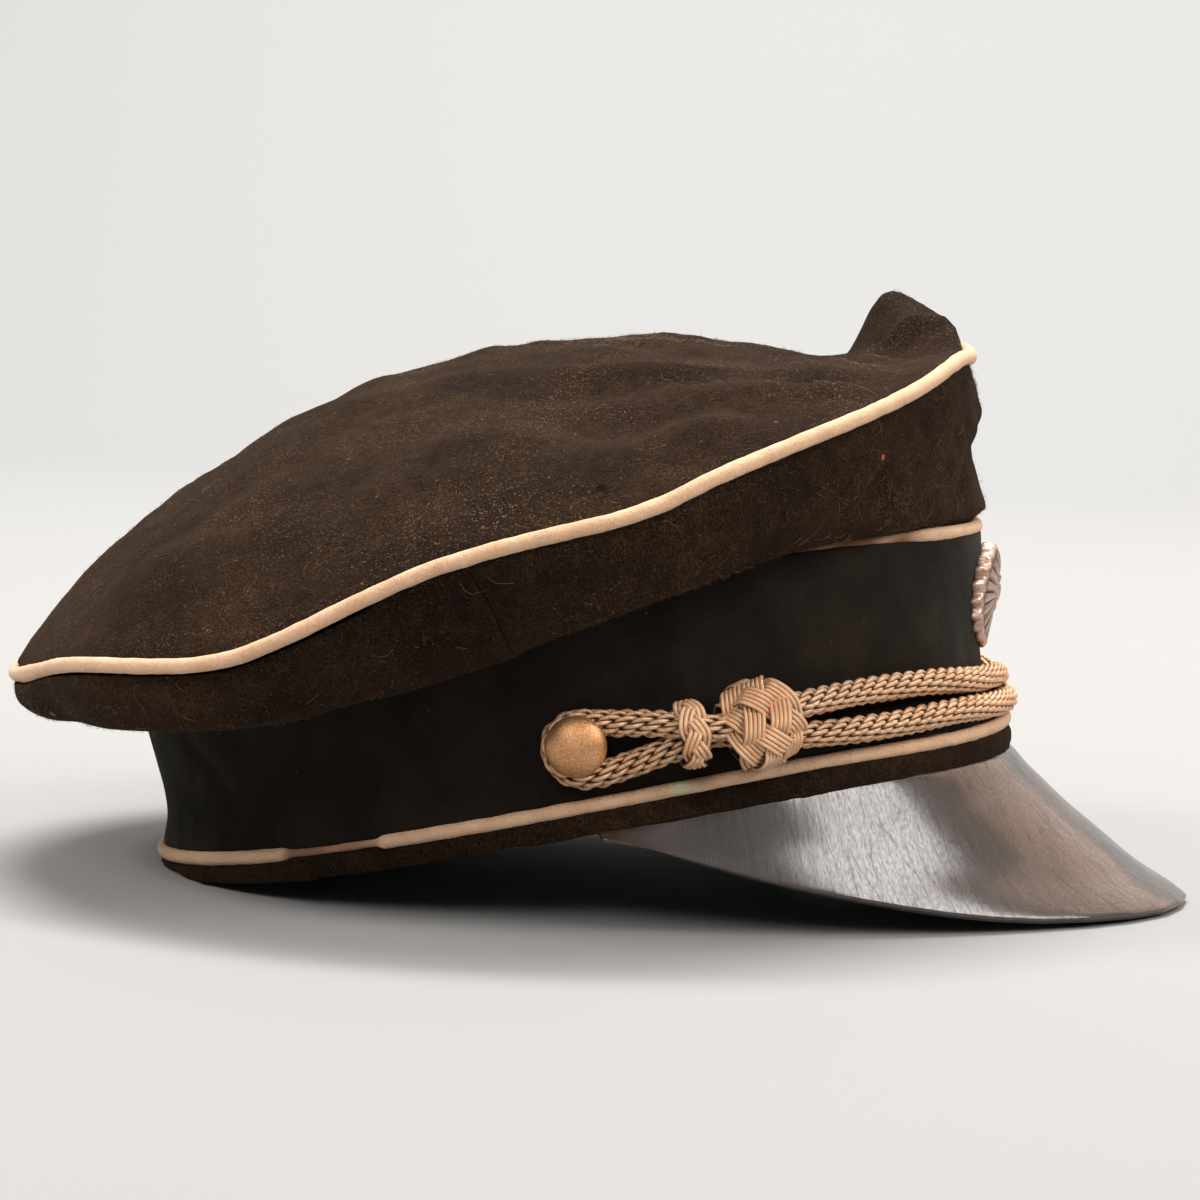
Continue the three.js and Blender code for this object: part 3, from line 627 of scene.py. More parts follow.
def fold_rise(points, rows):
    """How far each point is pushed out by a table of folds, each along a line of three points."""
    rise = np.zeros(len(points))
    for fold in named(FOLD_COLUMNS, rows):
        corners = np.array(fold["line"])
        fine = np.vstack([np.linspace(a, b, 12) for a, b in zip(corners, corners[1:])])
        away = np.min(np.linalg.norm(points[:, None] - fine[None], axis=2), axis=1)
        rise += fold["depth"] * np.exp(-((away / fold["wide"]) ** 2))
    return rise


crown_panels = [crown_top]
for quarter, middle_turn in SIDE_QUARTERS:
    panel = cad_copy(f"crown_side_{quarter}", f"crown_side_panel_{quarter}", 3)
    points, normals = points_of(panel), normals_of(panel)
    turn, out = crown_polar(points)
    lean = np.radians((turn - middle_turn + 180) % 360 - 180) * SIDE_REACH * out
    below = edge_at(turn, EDGE_HEIGHT) - points[:, 2]
    rim, height = rim_place(points)
    above_foot = height - band_top(rim) - CROWN_FOOT
    free = smoothstep(2, 9, below) * smoothstep(1, 6, above_foot)
    wrinkles = 0.35 * ripples(points, 20, 21) + 0.15 * ripples(points, 8, 22)
    points += normals * ((wrinkles + fold_rise(points, SIDE_FOLDS)) * free)[:, None]
    droop = smoothstep(DROOP_FROM, DROOP_TO, -points[:, 0])
    droop *= smoothstep(3, 12, below) * smoothstep(3, 12, above_foot)
    points[:, [0, 2]] -= SIDE_DROOP * droop[:, None]
    push_out(points, turn + 90, lean)
    points[:, 2] += SIDE_EDGE_DRAW * (1 - smoothstep(2.5, 6, below))
    push_out(points, turn, 0.9 * rear_draw(points) * (1 - smoothstep(3, 12, below)))
    draw_up(points, -SIDE_FOOT_DRAW * (1 - smoothstep(1.0, 3.5, above_foot)))
    swell(points, -SIDE_FOOT_TUCK * (1 - smoothstep(0, 3, above_foot)))
    set_points(panel, points)
    # The sides take the less dusty wool, which also paints them darker as shade.
    finish_piece(panel, side_wool_dust_and_shade, "wool", f"crown_side_{quarter}")
    crown_panels.append(panel)

# Nap and lint: short hairs of the worn wool that stand up from it, thickest in dusty patches, and
# long pale fibres that have caught on the crown, most of all along its seams and at the front.

HAIR_COLUMNS = ("name", "count", "points", "lies", "step", "radius", "lift", "curl", "seed")
HAIR_ROWS = (
    ("nap_hairs", 13000, 2, False, 0.8, 0.042, 0.45, 0.5, 81),
    ("lint_fibres", 240, 9, True, 0.7, 0.032, 0.4, 0.18, 82),
)
CROWN_CENTRE = (-28.0, 0.0, 85.0)


def mesh_piece(name, points, faces):
    """A new smooth piece from points in millimetres and the faces between them."""
    mesh = bpy.data.meshes.new(name)
    mesh.from_pydata((points * MM).reshape(-1, 3).tolist(), [], faces)
    mesh.shade_smooth()
    piece = bpy.data.objects.new(name, mesh)
    bpy.context.scene.collection.objects.link(piece)
    return piece


def hair_material(name, *tones):
    material, tree, shader, base = new_material(name, tones, 3.0, 0.5, 0.8, Specular_IOR_Level=0.2)
    feed(shader, {"Base Color": base})
    return material


def surface_tree(piece):
    """A piece's surface, ready to find its nearest points."""
    faces = [tuple(face.vertices) for face in piece.data.polygons]
    return BVHTree.FromPolygons(points_of(piece).tolist(), faces)


def on_panels(places, trees):
    """The nearest points of some pieces' surfaces, and the normals there."""
    hits = [min((tree.find_nearest(place) for tree in trees), key=lambda hit: hit[3]) for place in places]
    return np.array([hit[0] for hit in hits]), np.array([hit[1] for hit in hits])


def hairs(hair, panels):
    """Thin curled hairs on the outside of some pieces, each a closed three-sided taper."""
    rng, count, steps = np.random.default_rng(hair["seed"]), hair["count"], hair["points"]
    trees = [surface_tree(panel) for panel in panels] if hair["lies"] else []
    points = np.vstack([points_of(panel) for panel in panels])
    normals = np.vstack([normals_of(panel) for panel in panels])
    turn, out = crown_polar(points)
    outside = (normals * unit(points - np.array(CROWN_CENTRE))).sum(axis=1) > 0.3
    patch = np.clip(0.35 + ripples(points, 34, hair["seed"] + 1), 0.06, 2)
    front = (1 + 1.2 * smoothstep(-60, 40, points[:, 0])) * (1 - 0.7 * (out > edge_at(turn, EDGE_OUT) - 2))
    seam = 1 + 1.5 * np.exp(-((np.abs(edge_at(turn, EDGE_HEIGHT) - points[:, 2]) / 5) ** 2))
    weight = outside * patch * front * seam
    start = rng.choice(len(points), size=count, p=weight / weight.sum())
    normal, place = normals[start], points[start] + rng.normal(size=(count, 3)) * 0.4
    heading = unit(np.cross(normal, rng.normal(size=place.shape)))
    bend = rng.normal(0, hair["curl"], count)
    size = rng.uniform(0.5, 1.4, count)[:, None]
    place = place - normal * ((place - points[start]) * normal).sum(axis=1)[:, None]
    lines = []
    for k in range(steps):
        share = k / (steps - 1)
        lift = hair["lift"] * (math.sin(math.pi * share) if trees else share)
        lines.append(place + normal * (lift * size + 0.03))
        angle = (bend + rng.normal(0, 0.25, count))[:, None]
        heading = heading * np.cos(angle) + np.cross(normal, heading) * np.sin(angle)
        place = place + heading * hair["step"] * size
        if trees:
            place, normal = on_panels(place, trees)
            heading = unit(heading - normal * (heading * normal).sum(axis=1)[:, None])
    lines = np.stack(lines, axis=1)
    along = unit(np.gradient(lines, axis=1))
    side = unit(np.cross(along, normal[:, None]))
    over = np.cross(side, along)
    taper = hair["radius"] * np.linspace(1.0, 0.35, steps)[None, :, None]
    rings = [lines + taper * (math.cos(a) * over + math.sin(a) * side) for a in (0.0, 2.094, 4.189)]
    rings = np.stack(rings, axis=2)
    index = np.arange(rings[..., 0].size).reshape(rings.shape[:3])
    beside = np.roll(index, -1, axis=2)
    walls = np.stack([index[:, :-1], beside[:, :-1], beside[:, 1:], index[:, 1:]], axis=-1).reshape(-1, 4)
    ends = np.vstack([index[:, 0, ::-1], index[:, -1]])
    return mesh_piece(hair["name"], rings, walls.tolist() + ends.tolist())


hair_materials = {
    "nap_hairs": hair_material("nap_hair", colour(62, 48, 37), colour(146, 116, 92)),
    "lint_fibres": hair_material("lint_fibre", colour(98, 80, 65), colour(170, 146, 122)),
}
for hair in named(HAIR_COLUMNS, HAIR_ROWS):
    finish_piece(hairs(hair, crown_panels), hair_materials[hair["name"]], "wool")

# Pipings: cream cloth folded over a cord and sewn into the seams, round the crown and along both
# edges of the band. They are soiled, a little lumpy, worn brown on the upper front edge and frayed
# thin for a stretch low at the back.

CROWN_PIPING_RADIUS = 1.75
BAND_PIPING_RADIUS = 1.6
PIPING_SIDES = 14
PIPING_STEP = 0.9
FRAY_FROM_X, FRAY_TO_X = -62.0, -40.0


def smooth_loop(points, step):
    """A closed smooth line through points, cut into even steps, all in millimetres."""
    count = len(points)
    fine = []
    for i in range(count):
        p = [points[(i + k) % count] for k in (-1, 0, 1, 2)]
        knots = [0.0]
        for a, b in zip(p, p[1:]):
            knots.append(knots[-1] + max(np.linalg.norm(b - a), 1e-6) ** 0.5)
        pieces = max(int(np.linalg.norm(p[2] - p[1]) / step * 3), 2)
        for t in np.linspace(knots[1], knots[2], pieces, endpoint=False):
            near = p
            for reach in (1, 2):
                near = [
                    ((knots[k + reach] - t) * first + (t - knots[k]) * second) / (knots[k + reach] - knots[k])
                    for k, (first, second) in enumerate(zip(near, near[1:]))
                ]
            fine.append(((knots[2] - t) * near[0] + (t - knots[1]) * near[1]) / (knots[2] - knots[1]))
    fine = np.array(fine)
    lengths = np.linalg.norm(np.roll(fine, -1, axis=0) - fine, axis=1)
    run = np.concatenate([[0], np.cumsum(lengths)])
    at = np.linspace(0, run[-1], int(run[-1] / step), endpoint=False)
    closed = np.vstack([fine, fine[:1]])
    return np.column_stack([np.interp(at, run, closed[:, k]) for k in range(3)])


def frames_of(lines, outs):
    """Directions along, out from and across closed lines (..., step, xyz) that face the way of outs."""
    along = unit(np.roll(lines, -1, axis=-2) - np.roll(lines, 1, axis=-2))
    across = unit(np.cross(along, outs))
    return along, np.cross(across, along), across


def tubes(name, lines, outs, radii, sides):
    """One mesh of closed tubes round closed lines (tube, step, xyz), in millimetres, and its points
    (tube, step, side, xyz). radii fits (tube, step, side). The UV map runs along each tube in
    millimetres and once round it."""
    count, steps = lines.shape[:2]
    _, outwards, across = frames_of(lines, outs)
    angle = np.linspace(0, 2 * math.pi, sides, endpoint=False)[:, None]
    ring = outwards[:, :, None] * np.cos(angle) + across[:, :, None] * np.sin(angle)
    points = lines[:, :, None] + ring * radii[..., None]
    index = np.arange(count * steps * sides).reshape(count, steps, sides)
    beside = np.roll(index, -1, axis=2)
    faces = np.stack([index, beside, np.roll(beside, -1, axis=1), np.roll(index, -1, axis=1)], axis=-1)
    piece = mesh_piece(name, points, faces.reshape(-1, 4).tolist())
    run = np.linalg.norm(np.roll(lines, -1, axis=1) - lines, axis=2)
    start = np.cumsum(run, axis=1) - run
    u = np.stack([start, start, start + run, start + run], axis=-1)[:, :, None].repeat(sides, axis=2)
    v = np.arange(sides) / sides
    v = np.broadcast_to(np.stack([v, v + 1 / sides, v + 1 / sides, v], axis=-1), u.shape)
    piece.data.uv_layers.new(name="along").data.foreach_set("uv", np.stack([u, v], axis=-1).ravel())
    return piece, points


def set_shade(piece, values):
    """A value for each point that the piece's material reads."""
    piece.data.attributes.new("shade", "FLOAT", "POINT").data.foreach_set("value", np.ravel(values))


def shade_of(tree):
    return put(tree, "Attribute", {}, "Fac", attribute_name="shade")


def place_on(tree, uv_map):
    return put(tree, "UVMap", {}, uv_map=uv_map)


PIPING_MARKS = (
    (26.0, -81.5, 33.4, 4.6, 3.6, 190, 186, 152),
    (30.5, -82.0, 34.2, 3.0, 2.8, 176, 182, 152),
    (70.0, -51.0, 85.6, 2.0, 2.0, 170, 104, 60),
)


def piping_material():
    """Cream felt, soiled in patches, ribbed by its twill, and worn through to a dark core."""
    material, tree, shader, felt = new_material(
        "cream_felt", (colour(214, 173, 141), colour(188, 148, 116)), 7.0, 0.6, 0.9,
        Sheen_Weight=0.15, Sheen_Roughness=0.5, Specular_IOR_Level=0.15,
    )
    fine = put_group(tree, mottle, Dark=GREY, Light=(0.8, 0.78, 0.74, 1.0), Size=0.7, Lean=0.5)
    dirt = shade_of(tree)
    felt = mix(tree, 0.7, felt, fine, "SOFT_LIGHT")
    felt = mix(tree, spread(tree, dirt, 0.0, 0.5), felt, colour(118, 78, 48))
    felt = mix(tree, spread(tree, dirt, 0.5, 1.0), felt, colour(46, 35, 28))
    feed(shader, {"Base Color": put_marks(tree, felt, PIPING_MARKS)})
    twill = {"Vector": place_on(tree, "along"), "Scale": 0.42, "Distortion": 2.5, "Detail": 2.0}
    twill = put(tree, "TexWave", {**twill, "Detail Scale": 2.0}, "Fac")
    put_bumps(
        tree, shader, (put_group(tree, nap, Grain=0.5, Clumps=1.6, Clump_Share=0.8), 0.3), (twill, 0.05)
    )
    return material


cream_felt = piping_material()


def piping(name, line, outs, radius, thin, soil, seed):
    """A piping round a closed line. thin and soil are values for each step, 0 for sound and clean."""
    steps = len(line)
    angle = np.linspace(0, 2 * math.pi, PIPING_SIDES, endpoint=False)
    flat = line[:, None] + radius * np.stack([np.cos(angle), np.sin(angle), 0 * angle], axis=-1)[None]
    flat = flat.reshape(-1, 3)
    lumps = 0.05 * ripples(flat, 6, seed) + 0.03 * ripples(flat, 2.2, seed + 1)
    radii = radius * (1 - thin[:, None]) + lumps.reshape(steps, PIPING_SIDES)
    piece, _ = tubes(name, line[None], outs[None], radii[None], PIPING_SIDES)
    patchy = soil[:, None] * (1 + 0.3 * ripples(flat, 9, seed + 2).reshape(steps, PIPING_SIDES))
    set_shade(piece, np.clip(patchy, 0, 1))
    return piece


turn = edge_line[:, 0]
edge_points = edge_line[:, 1:2] * facing(turn) + np.array([[CROWN_MIDDLE_X, 0, 0]])
edge_points[:, 2] = edge_line[:, 2]
line = smooth_loop(edge_points, PIPING_STEP)
turn, _ = crown_polar(line)
lap = 0.12 * (smoothstep(202.0, 202.6, turn) - smoothstep(206, 212, turn))
crown_piping = piping("crown_piping_felt", line, facing(turn), CROWN_PIPING_RADIUS, -lap, 0 * turn, 31)
finish_piece(crown_piping, cream_felt, "piping", "crown_piping")

FRONT_DROP = 1.2


def front_drop(rim):
    """How far the front of the band's lower edge is drawn down to the visor."""
    return FRONT_DROP * smoothstep(0.55, 0.95, np.cos(np.radians(rim)))


turns = np.arange(0, 360, 3.0)
for name, node, out, height, seed in (
    ("band_piping_upper_felt", "band_piping_upper", 0.4, band_top(turns) + 1.85, 41),
    ("band_piping_lower_felt", "band_piping_lower", -0.1, 0 * turns, 51),
):
    line = smooth_loop(rim_points(turns, out, height), PIPING_STEP)
    rim, _ = rim_place(line)
    if node == "band_piping_lower":
        draw_up(line, -front_drop(rim))
        frayed = (line[:, 1] < 0) * smoothstep(FRAY_FROM_X - 3, FRAY_FROM_X, line[:, 0])
        frayed *= 1 - smoothstep(FRAY_TO_X - 2, FRAY_TO_X, line[:, 0])
        thin, soil = 0.45 * frayed, 0.3 * frayed
    else:
        worn = 1 - smoothstep(68, 80, line[:, 0])
        thin, soil = 0.35 * worn, 0.5 * worn + 0.5 * (1 - smoothstep(50, 66, line[:, 0]))
    band_piping = piping(name, line, facing(rim), BAND_PIPING_RADIUS, thin, soil, seed)
    finish_piece(band_piping, cream_felt, "piping", node)

# Band: a wall of dark velvet round the head, drawn in at its waist. The pile catches the light at
# the front with a cold green sheen, and two faint creases cross it at the back.

BAND_EDGE_DRAW = 0.9
BAND_CREASES = (
    (-0.7, 2.8, ((-91.0, -46.0, 33.0), (-86.5, -50.0, 29.0), (-80.7, -54.3, 24.5))),
    (-0.6, 2.4, ((-42.8, -77.3, 31.9), (-30.0, -80.6, 32.6), (-17.0, -82.9, 32.5))),
)


def velvet_material():
    """Velvet in faint patches, its pile worn and specked with lint."""
    material, tree, shader, pile = new_material(
        "dark_velvet", (colour(21, 15, 11), colour(35, 28, 22)), 16.0, 0.56, 0.85, Sheen_Weight=0.22,
        Sheen_Roughness=0.35, Sheen_Tint=colour(150, 165, 155), Specular_IOR_Level=0.1,
    )
    fine = put_group(tree, mottle, Dark=GREY, Light=(0.9, 0.92, 0.92, 1.0), Size=0.6, Lean=0.5)
    dust = put_group(tree, specks, Size=3.4, Share=0.12, Width=0.13)
    worn = mix(tree, 0.6, pile, fine, "OVERLAY")
    linted = mix(tree, calc(tree, "MULTIPLY", dust, 0.3), worn, colour(128, 122, 108))
    feed(shader, {"Base Color": linted})
    put_bumps(tree, shader, (put_group(tree, nap, Grain=0.35, Clumps=2.4, Clump_Share=0.7), 0.16))
    return material


band = cad_copy("band", "velvet_band", 3)
points, normals = points_of(band), normals_of(band)
rim, height = rim_place(points)
points += normals * (0.22 * ripples(points, 34, 61) + 0.08 * ripples(points, 9, 62))[:, None]
points += normals * fold_rise(points, BAND_CREASES)[:, None]
draw_up(points, BAND_EDGE_DRAW * smoothstep(-2.0, -0.6, height - band_top(rim)))
draw_up(points, -BAND_EDGE_DRAW * (1 - smoothstep(2.4, 3.8, height)))
set_points(band, points)
finish_piece(band, velvet_material(), "velvet", "band")

# Bottom welt: a strip of the crown's wool that finishes the band under the lower piping. It lies
# flat on the ground at the back.

WELT_ROLL = 0.7

welt = cad_copy("bottom_welt", "bottom_welt_cloth", 3)
points, normals = points_of(welt), normals_of(welt)
rim, height = rim_place(points)
points += normals * (0.16 * ripples(points, 14, 71) + 0.08 * ripples(points, 5, 72))[:, None]
draw_up(points, BAND_EDGE_DRAW * smoothstep(-3.4, -2.2, height))
draw_up(points, -front_drop(rim) * smoothstep(-4, -2, height))
swell(points, WELT_ROLL * np.clip(1 - ((height + 4.6) / 2.8) ** 2, 0, 1))
points[:, 2] = np.maximum(points[:, 2], 0)
set_points(welt, points)
# The welt takes the same less dusty wool, painted darker as shade.
finish_piece(welt, side_wool_dust_and_shade, "wool", "bottom_welt")

# Visor: a curved sheet of leather, lacquered dark and polished by handling, with a pressed line a
# few millimetres inside its edge, fine cracks over the bend and a brown rubbed rim.

VISOR_LINE_IN = 5.0
VISOR_ROOT_DRAW = 1.3
VISOR_SINK = 2.1
VISOR_LIP = 1.0
VISOR_EDGE_COLUMNS = ("turn", "x", "y", "z")
VISOR_EDGE = (
    (0, 143.5, 0, 0), (5, 142.5, 10.6, 0.05), (10, 139.5, 20.5, 0.2), (15, 134, 30.8, 0.4),
    (20, 126.5, 40, 0.6), (25, 117.8, 47.8, 0.8), (30, 108.5, 54.5, 1), (40, 91, 65, 2.8),
    (50, 73.5, 73, 5.7), (60, 55.5, 79, 9.1), (70, 36.5, 83.4, 13.7), (78, 22.5, 85.4, 17.4),
    (84, 11.5, 85.9, 18.9),
)


def visor_material():
    """Brown leather under cracked lacquer, rubbed at its rim, with a line pressed inside it. The
    lacquer's gloss is broken by pores, wrinkles and cracks."""
    material, tree, shader, patches = new_material(
        "lacquered_leather", (colour(34, 23, 17), colour(56, 39, 29)), 26.0, 0.5, 0.4,
        Specular_IOR_Level=0.35, Coat_IOR=1.95, Coat_Roughness=0.2,
    )
    rim, place = shade_of(tree), place_on(tree, "slope")
    leather = mix(tree, spread(tree, rim, 0.0, 1.4, 1.0, 0.0), patches, colour(84, 52, 34))
    from_line = calc(tree, "ABSOLUTE", calc(tree, "SUBTRACT", rim, VISOR_LINE_IN))
    groove = spread(tree, from_line, 0.0, 0.6, way="SMOOTHSTEP")
    strained = put(tree, "Mapping", {"Vector": place, "Scale": (1.0, 0.22, 1.0)})
    wrinkles = {"Vector": strained, "Scale": 0.9, "Detail": 7.0, "Roughness": 0.7, "Distortion": 0.6}
    wrinkles = put(tree, "TexNoise", wrinkles)
    pores = put(tree, "TexNoise", {"Vector": place, "Scale": 1.6, "Detail": 6.0, "Roughness": 0.7})
    cracks = put(tree, "TexVoronoi", {"Vector": strained, "Scale": 0.32}, feature="DISTANCE_TO_EDGE")
    gloss, streaks = spread(tree, pores, 0.34, 0.58, 0.45), spread(tree, wrinkles, 0.34, 0.56, 0.6)
    unbroken = spread(tree, cracks, 0.0, 0.03, 0.55)
    gloss = calc(tree, "MULTIPLY", calc(tree, "MULTIPLY", gloss, streaks), unbroken)
    roughness = spread(tree, pores, 0.3, 0.7, 0.3, 0.5)
    feed(shader, {"Base Color": leather, "Roughness": roughness, "Coat Weight": gloss})
    open_cracks = spread(tree, cracks, 0.0, 0.05)
    put_bumps(tree, shader, (wrinkles, 0.15), (pores, 0.22), (open_cracks, 0.05), (groove, 0.05))
    return material


edge = dict(zip(VISOR_EDGE_COLUMNS, np.array(VISOR_EDGE).T))
edge_turns = np.linspace(-84, 84, 337)
edge_x, edge_y, edge_z = (np.interp(abs(edge_turns), edge["turn"], edge[axis]) for axis in "xyz")
edge_curve = np.column_stack([edge_x + OUTLINE_SHIFT_X, edge_y * np.sign(edge_turns), edge_z])
visor = cad_copy("visor", "visor_leather", 3)
points = points_of(visor)
from_edge = np.min(np.linalg.norm(points[:, None] - edge_curve[None], axis=2), axis=1)
azimuth = np.degrees(np.arctan2(points[:, 1], points[:, 0]))
reach = np.hypot(points[:, 0], points[:, 1])
rim, height = rim_place(points)
out = np.hypot(points[:, 1] / RIM_HALF_WIDTH, (points[:, 0] - RIM_MIDDLE[0]) / RIM_HALF_LENGTH)
front = smoothstep(20, 70, points[:, 0])
points[:, 2] -= VISOR_SINK * front * smoothstep(0, 20, from_edge) * smoothstep(1.0, 1.16, out)
lip = VISOR_LIP * front * (1 - smoothstep(0, 14, from_edge))
push_out(points, azimuth, lip)
draw_up(points, VISOR_ROOT_DRAW * (1 - smoothstep(1.0, 1.05, out)))
points[:, 2] = np.maximum(points[:, 2], 0)
set_points(visor, points)
set_shade(visor, np.clip(from_edge, 0, 100))
corners = np.empty(len(visor.data.loops), dtype=int)
visor.data.loops.foreach_get("vertex_index", corners)
slope = np.column_stack([np.radians(azimuth) * 100, reach])[corners]
visor.data.uv_layers.new(name="slope").data.foreach_set("uv", slope.ravel())
finish_piece(visor, visor_material(), "visor_leather", "visor")

# Chin cord: a closed loop of rope, five strands of three plies, each ply wound with tarnished metal
# thread. It runs doubled across the front and round the shank of the button on each side.

CORD_OUT = 3.2
CORD_FRONT_OUT = 2.4
CORD_BUTTON_TURN = 84.7
CORD_PATH_HEIGHT = 14.0
CORD_LENGTH_STEP = 0.5
CORD_LOWER_OUT = 1.7
CORD_FRONT = ((CORD_FRONT_OUT, 9.2), (CORD_LOWER_OUT, 3.2))
CORD_LEFT_DIP, CORD_LOWER_DIP = 2.0, 0.6
CORD_PARTING = 6.0
# Height above the rim, and how far the band stands out there at its front, sides and rear
BAND_PROFILE = (
    (1.85, -0.4, 0.1, -0.4),
    (8.0, -2.8, -0.5, -2.6),
    (14.0, -3.4, -0.7, -2.8),
    (21.0, -2.8, -0.5, -1.8),
    (29.0, -1.4, 0.0, -1.0),
    (37.0, 0.4, 0.4, -0.5),
    (43.2, 1.4, 0.6, 0.0),
)
CORD_COLUMNS = ("forward", "height", "out")
CORD_LEG = (
    (126.0, 10.0, CORD_FRONT_OUT), (112.0, 10.6, CORD_FRONT_OUT), (99.0, 11.8, 2.9), (86.0, 13.0, CORD_OUT),
    (74.0, 13.6, 3.4), (64.0, 14.0, 4.8), (55.0, 14.1, 7.0), (47.0, 14.05, 9.0), (38.0, 13.6, 10.4),
    (29.2, 12.6, 11.0), (23.1, 14.3, 9.6), (18.8, 15.3, 7.8), (14.0, 16.4, 6.0), (9.5, 17.2, 4.8),
    (4.5, 18.2, 3.9), (0.0, 18.9, 3.5), (-3.9, 16.9, CORD_OUT), (-4.8, 13.0, CORD_OUT),
    (-3.2, 9.2, CORD_OUT), (0.0, 7.2, 3.6), (4.5, 6.9, 4.1), (9.5, 7.6, 4.6), (14.0, 8.4, 5.2),
    (18.8, 9.4, 6.2), (23.1, 9.9, 6.0), (29.2, 11.0, 5.8), (38.0, 8.4, 6.6), (47.0, 7.3, 6.8),
    (55.0, 6.4, 5.8), (64.0, 5.7, 4.6), (74.0, 5.3, 3.5), (86.0, 5.3, CORD_OUT), (99.0, 5.0, 2.9),
    (112.0, 4.2, 2.2), (126.0, 3.5, CORD_LOWER_OUT),
)
ROPE_STRANDS, ROPE_PLIES = 5, 3
ROPE_STRAND_CIRCLE, ROPE_PLY_CIRCLE, ROPE_PLY_RADIUS = 1.93, 0.64, 0.62
ROPE_LEAD, ROPE_PLY_LEAD = 20.0, 5.6
ROPE_SIDES = 5


def band_points(turn, out, height):
    """Points so far out from the band's surface at turns of the rim and heights above it."""
    heights, *outs = np.array(BAND_PROFILE).T
    front, side, rear = (np.interp(height, heights, out_there) for out_there in outs)
    c = np.cos(np.radians(turn))
    bulge = np.where(c > 0, front, rear) * c * c + side * (1 - c * c)
    return rim_points(turn, bulge + out, height)


walk = np.arange(CORD_BUTTON_TURN + 12, -0.1, -0.25)
walk_points = band_points(walk, 0.0, CORD_PATH_HEIGHT)
walk_run = np.concatenate([[0], np.cumsum(np.linalg.norm(np.diff(walk_points, axis=0), axis=1))])
walk_run -= np.interp(-CORD_BUTTON_TURN, -walk, walk_run)


def on_band(side, forward, height, out):
    """A place by its distance forward of the button, along the band, on the left (1) or right (-1)."""
    turn = side * np.interp(forward, walk_run, walk)
    return band_points(turn, out, height)


def thread_material():
    """Tarnished metal thread, brown in patches, wound in fine ribs, and darkened near black by its shade
    value: painted shade in its gaps and under crossings, with some grime.
    """
    material, tree, shader, base = new_material(
        "tarnished_thread", (colour(250, 206, 166), colour(216, 162, 116)), 9.0, 0.55, 0.4,
        Metallic=0.4, Specular_IOR_Level=0.5,
    )
    winding = {"Vector": place_on(tree, "along"), "Scale": 1.1, "Distortion": 1.5, "Detail": 1.0}
    # Painted shade: the shade value darkens the thread where it lies deep in the rope or under other cords.
    feed(shader, {"Base Color": mix(tree, shade_of(tree), base, colour(40, 34, 24))})
    put_bumps(tree, shader, (put(tree, "TexWave", winding, "Fac"), 0.06), strength=0.8)
    return material


thread = thread_material()


def depth_shade(points, lines, outer, inner):
    """How deep each point of some tubes lies in a rope or weave: 0 at its outside, 1 in its gaps, for painted
    shade there.
    """
    away = np.linalg.norm(points - lines, axis=-1)
    return 1 - smoothstep(inner, outer, away)


def rope(name, line, outs):
    """Plies laid up in strands round a closed line, each turned a whole number of times."""
    steps = len(line)
    share = np.arange(steps) / steps
    length = steps * CORD_LENGTH_STEP
    _, outwards, across = frames_of(line, outs)
    plies, ply_outs = [], []
    for k in range(ROPE_STRANDS):
        angle = 2 * math.pi * (k / ROPE_STRANDS - round(length / ROPE_LEAD) * share)[:, None]
        spoke = outwards * np.cos(angle) + across * np.sin(angle)
        strand = line + ROPE_STRAND_CIRCLE * spoke
        _, strand_out, strand_across = frames_of(strand, spoke)
        for j in range(ROPE_PLIES):
            angle = 2 * math.pi * (j / ROPE_PLIES + round(length / ROPE_PLY_LEAD) * share)[:, None]
            spoke_out = strand_out * np.cos(angle) + strand_across * np.sin(angle)
            plies.append(strand + ROPE_PLY_CIRCLE * spoke_out)
            ply_outs.append(spoke_out)
    plies, ply_outs = np.array(plies), np.array(ply_outs)
    radii = np.full((len(plies), steps, ROPE_SIDES), ROPE_PLY_RADIUS)
    piece, points = tubes(name, plies, ply_outs, radii, ROPE_SIDES)
    outer = ROPE_STRAND_CIRCLE + ROPE_PLY_CIRCLE + ROPE_PLY_RADIUS
    depth = depth_shade(points, line[None, :, None], 0.88 * outer, 0.6 * outer)
    spokes = unit(plies - line[None])[:, :, None]
    rise = ((points - plies[:, :, None]) * spokes).sum(axis=-1) / ROPE_PLY_RADIUS
    # Painted shade: the plies are darker deep in the rope and on their sides turned in towards its middle.
    set_shade(piece, np.maximum(depth, 0.85 * (1 - smoothstep(-0.1, 0.6, rise))))
    return piece


legs = []
leg = dict(zip(CORD_COLUMNS, np.array(CORD_LEG).T))
for side in (-1, 1):
    height = leg["height"].copy()
    if side > 0:
        dip = np.where(height > CORD_PARTING, CORD_LEFT_DIP, CORD_LOWER_DIP)
        height -= dip * smoothstep(80, 112, leg["forward"])
    legs.append([on_band(side, *place) for place in zip(leg["forward"], height, leg["out"])])
upper, lower = (band_points(0.0, *place) for place in CORD_FRONT)
line = smooth_loop([upper, *legs[0], lower, *legs[1][::-1]], CORD_LENGTH_STEP)
rim, _ = rim_place(line)
chin_cord = rope("chin_cord_rope", line, facing(rim))
finish_piece(chin_cord, thread, "cord", "chin_cord")

# Knots: two woven slides on each doubled end of the cord, a narrow one of three thin cords next to
# the button and a wide one of five. Each is one endless braid round the rope, over a core painted dark as the
# shade inside the knot.

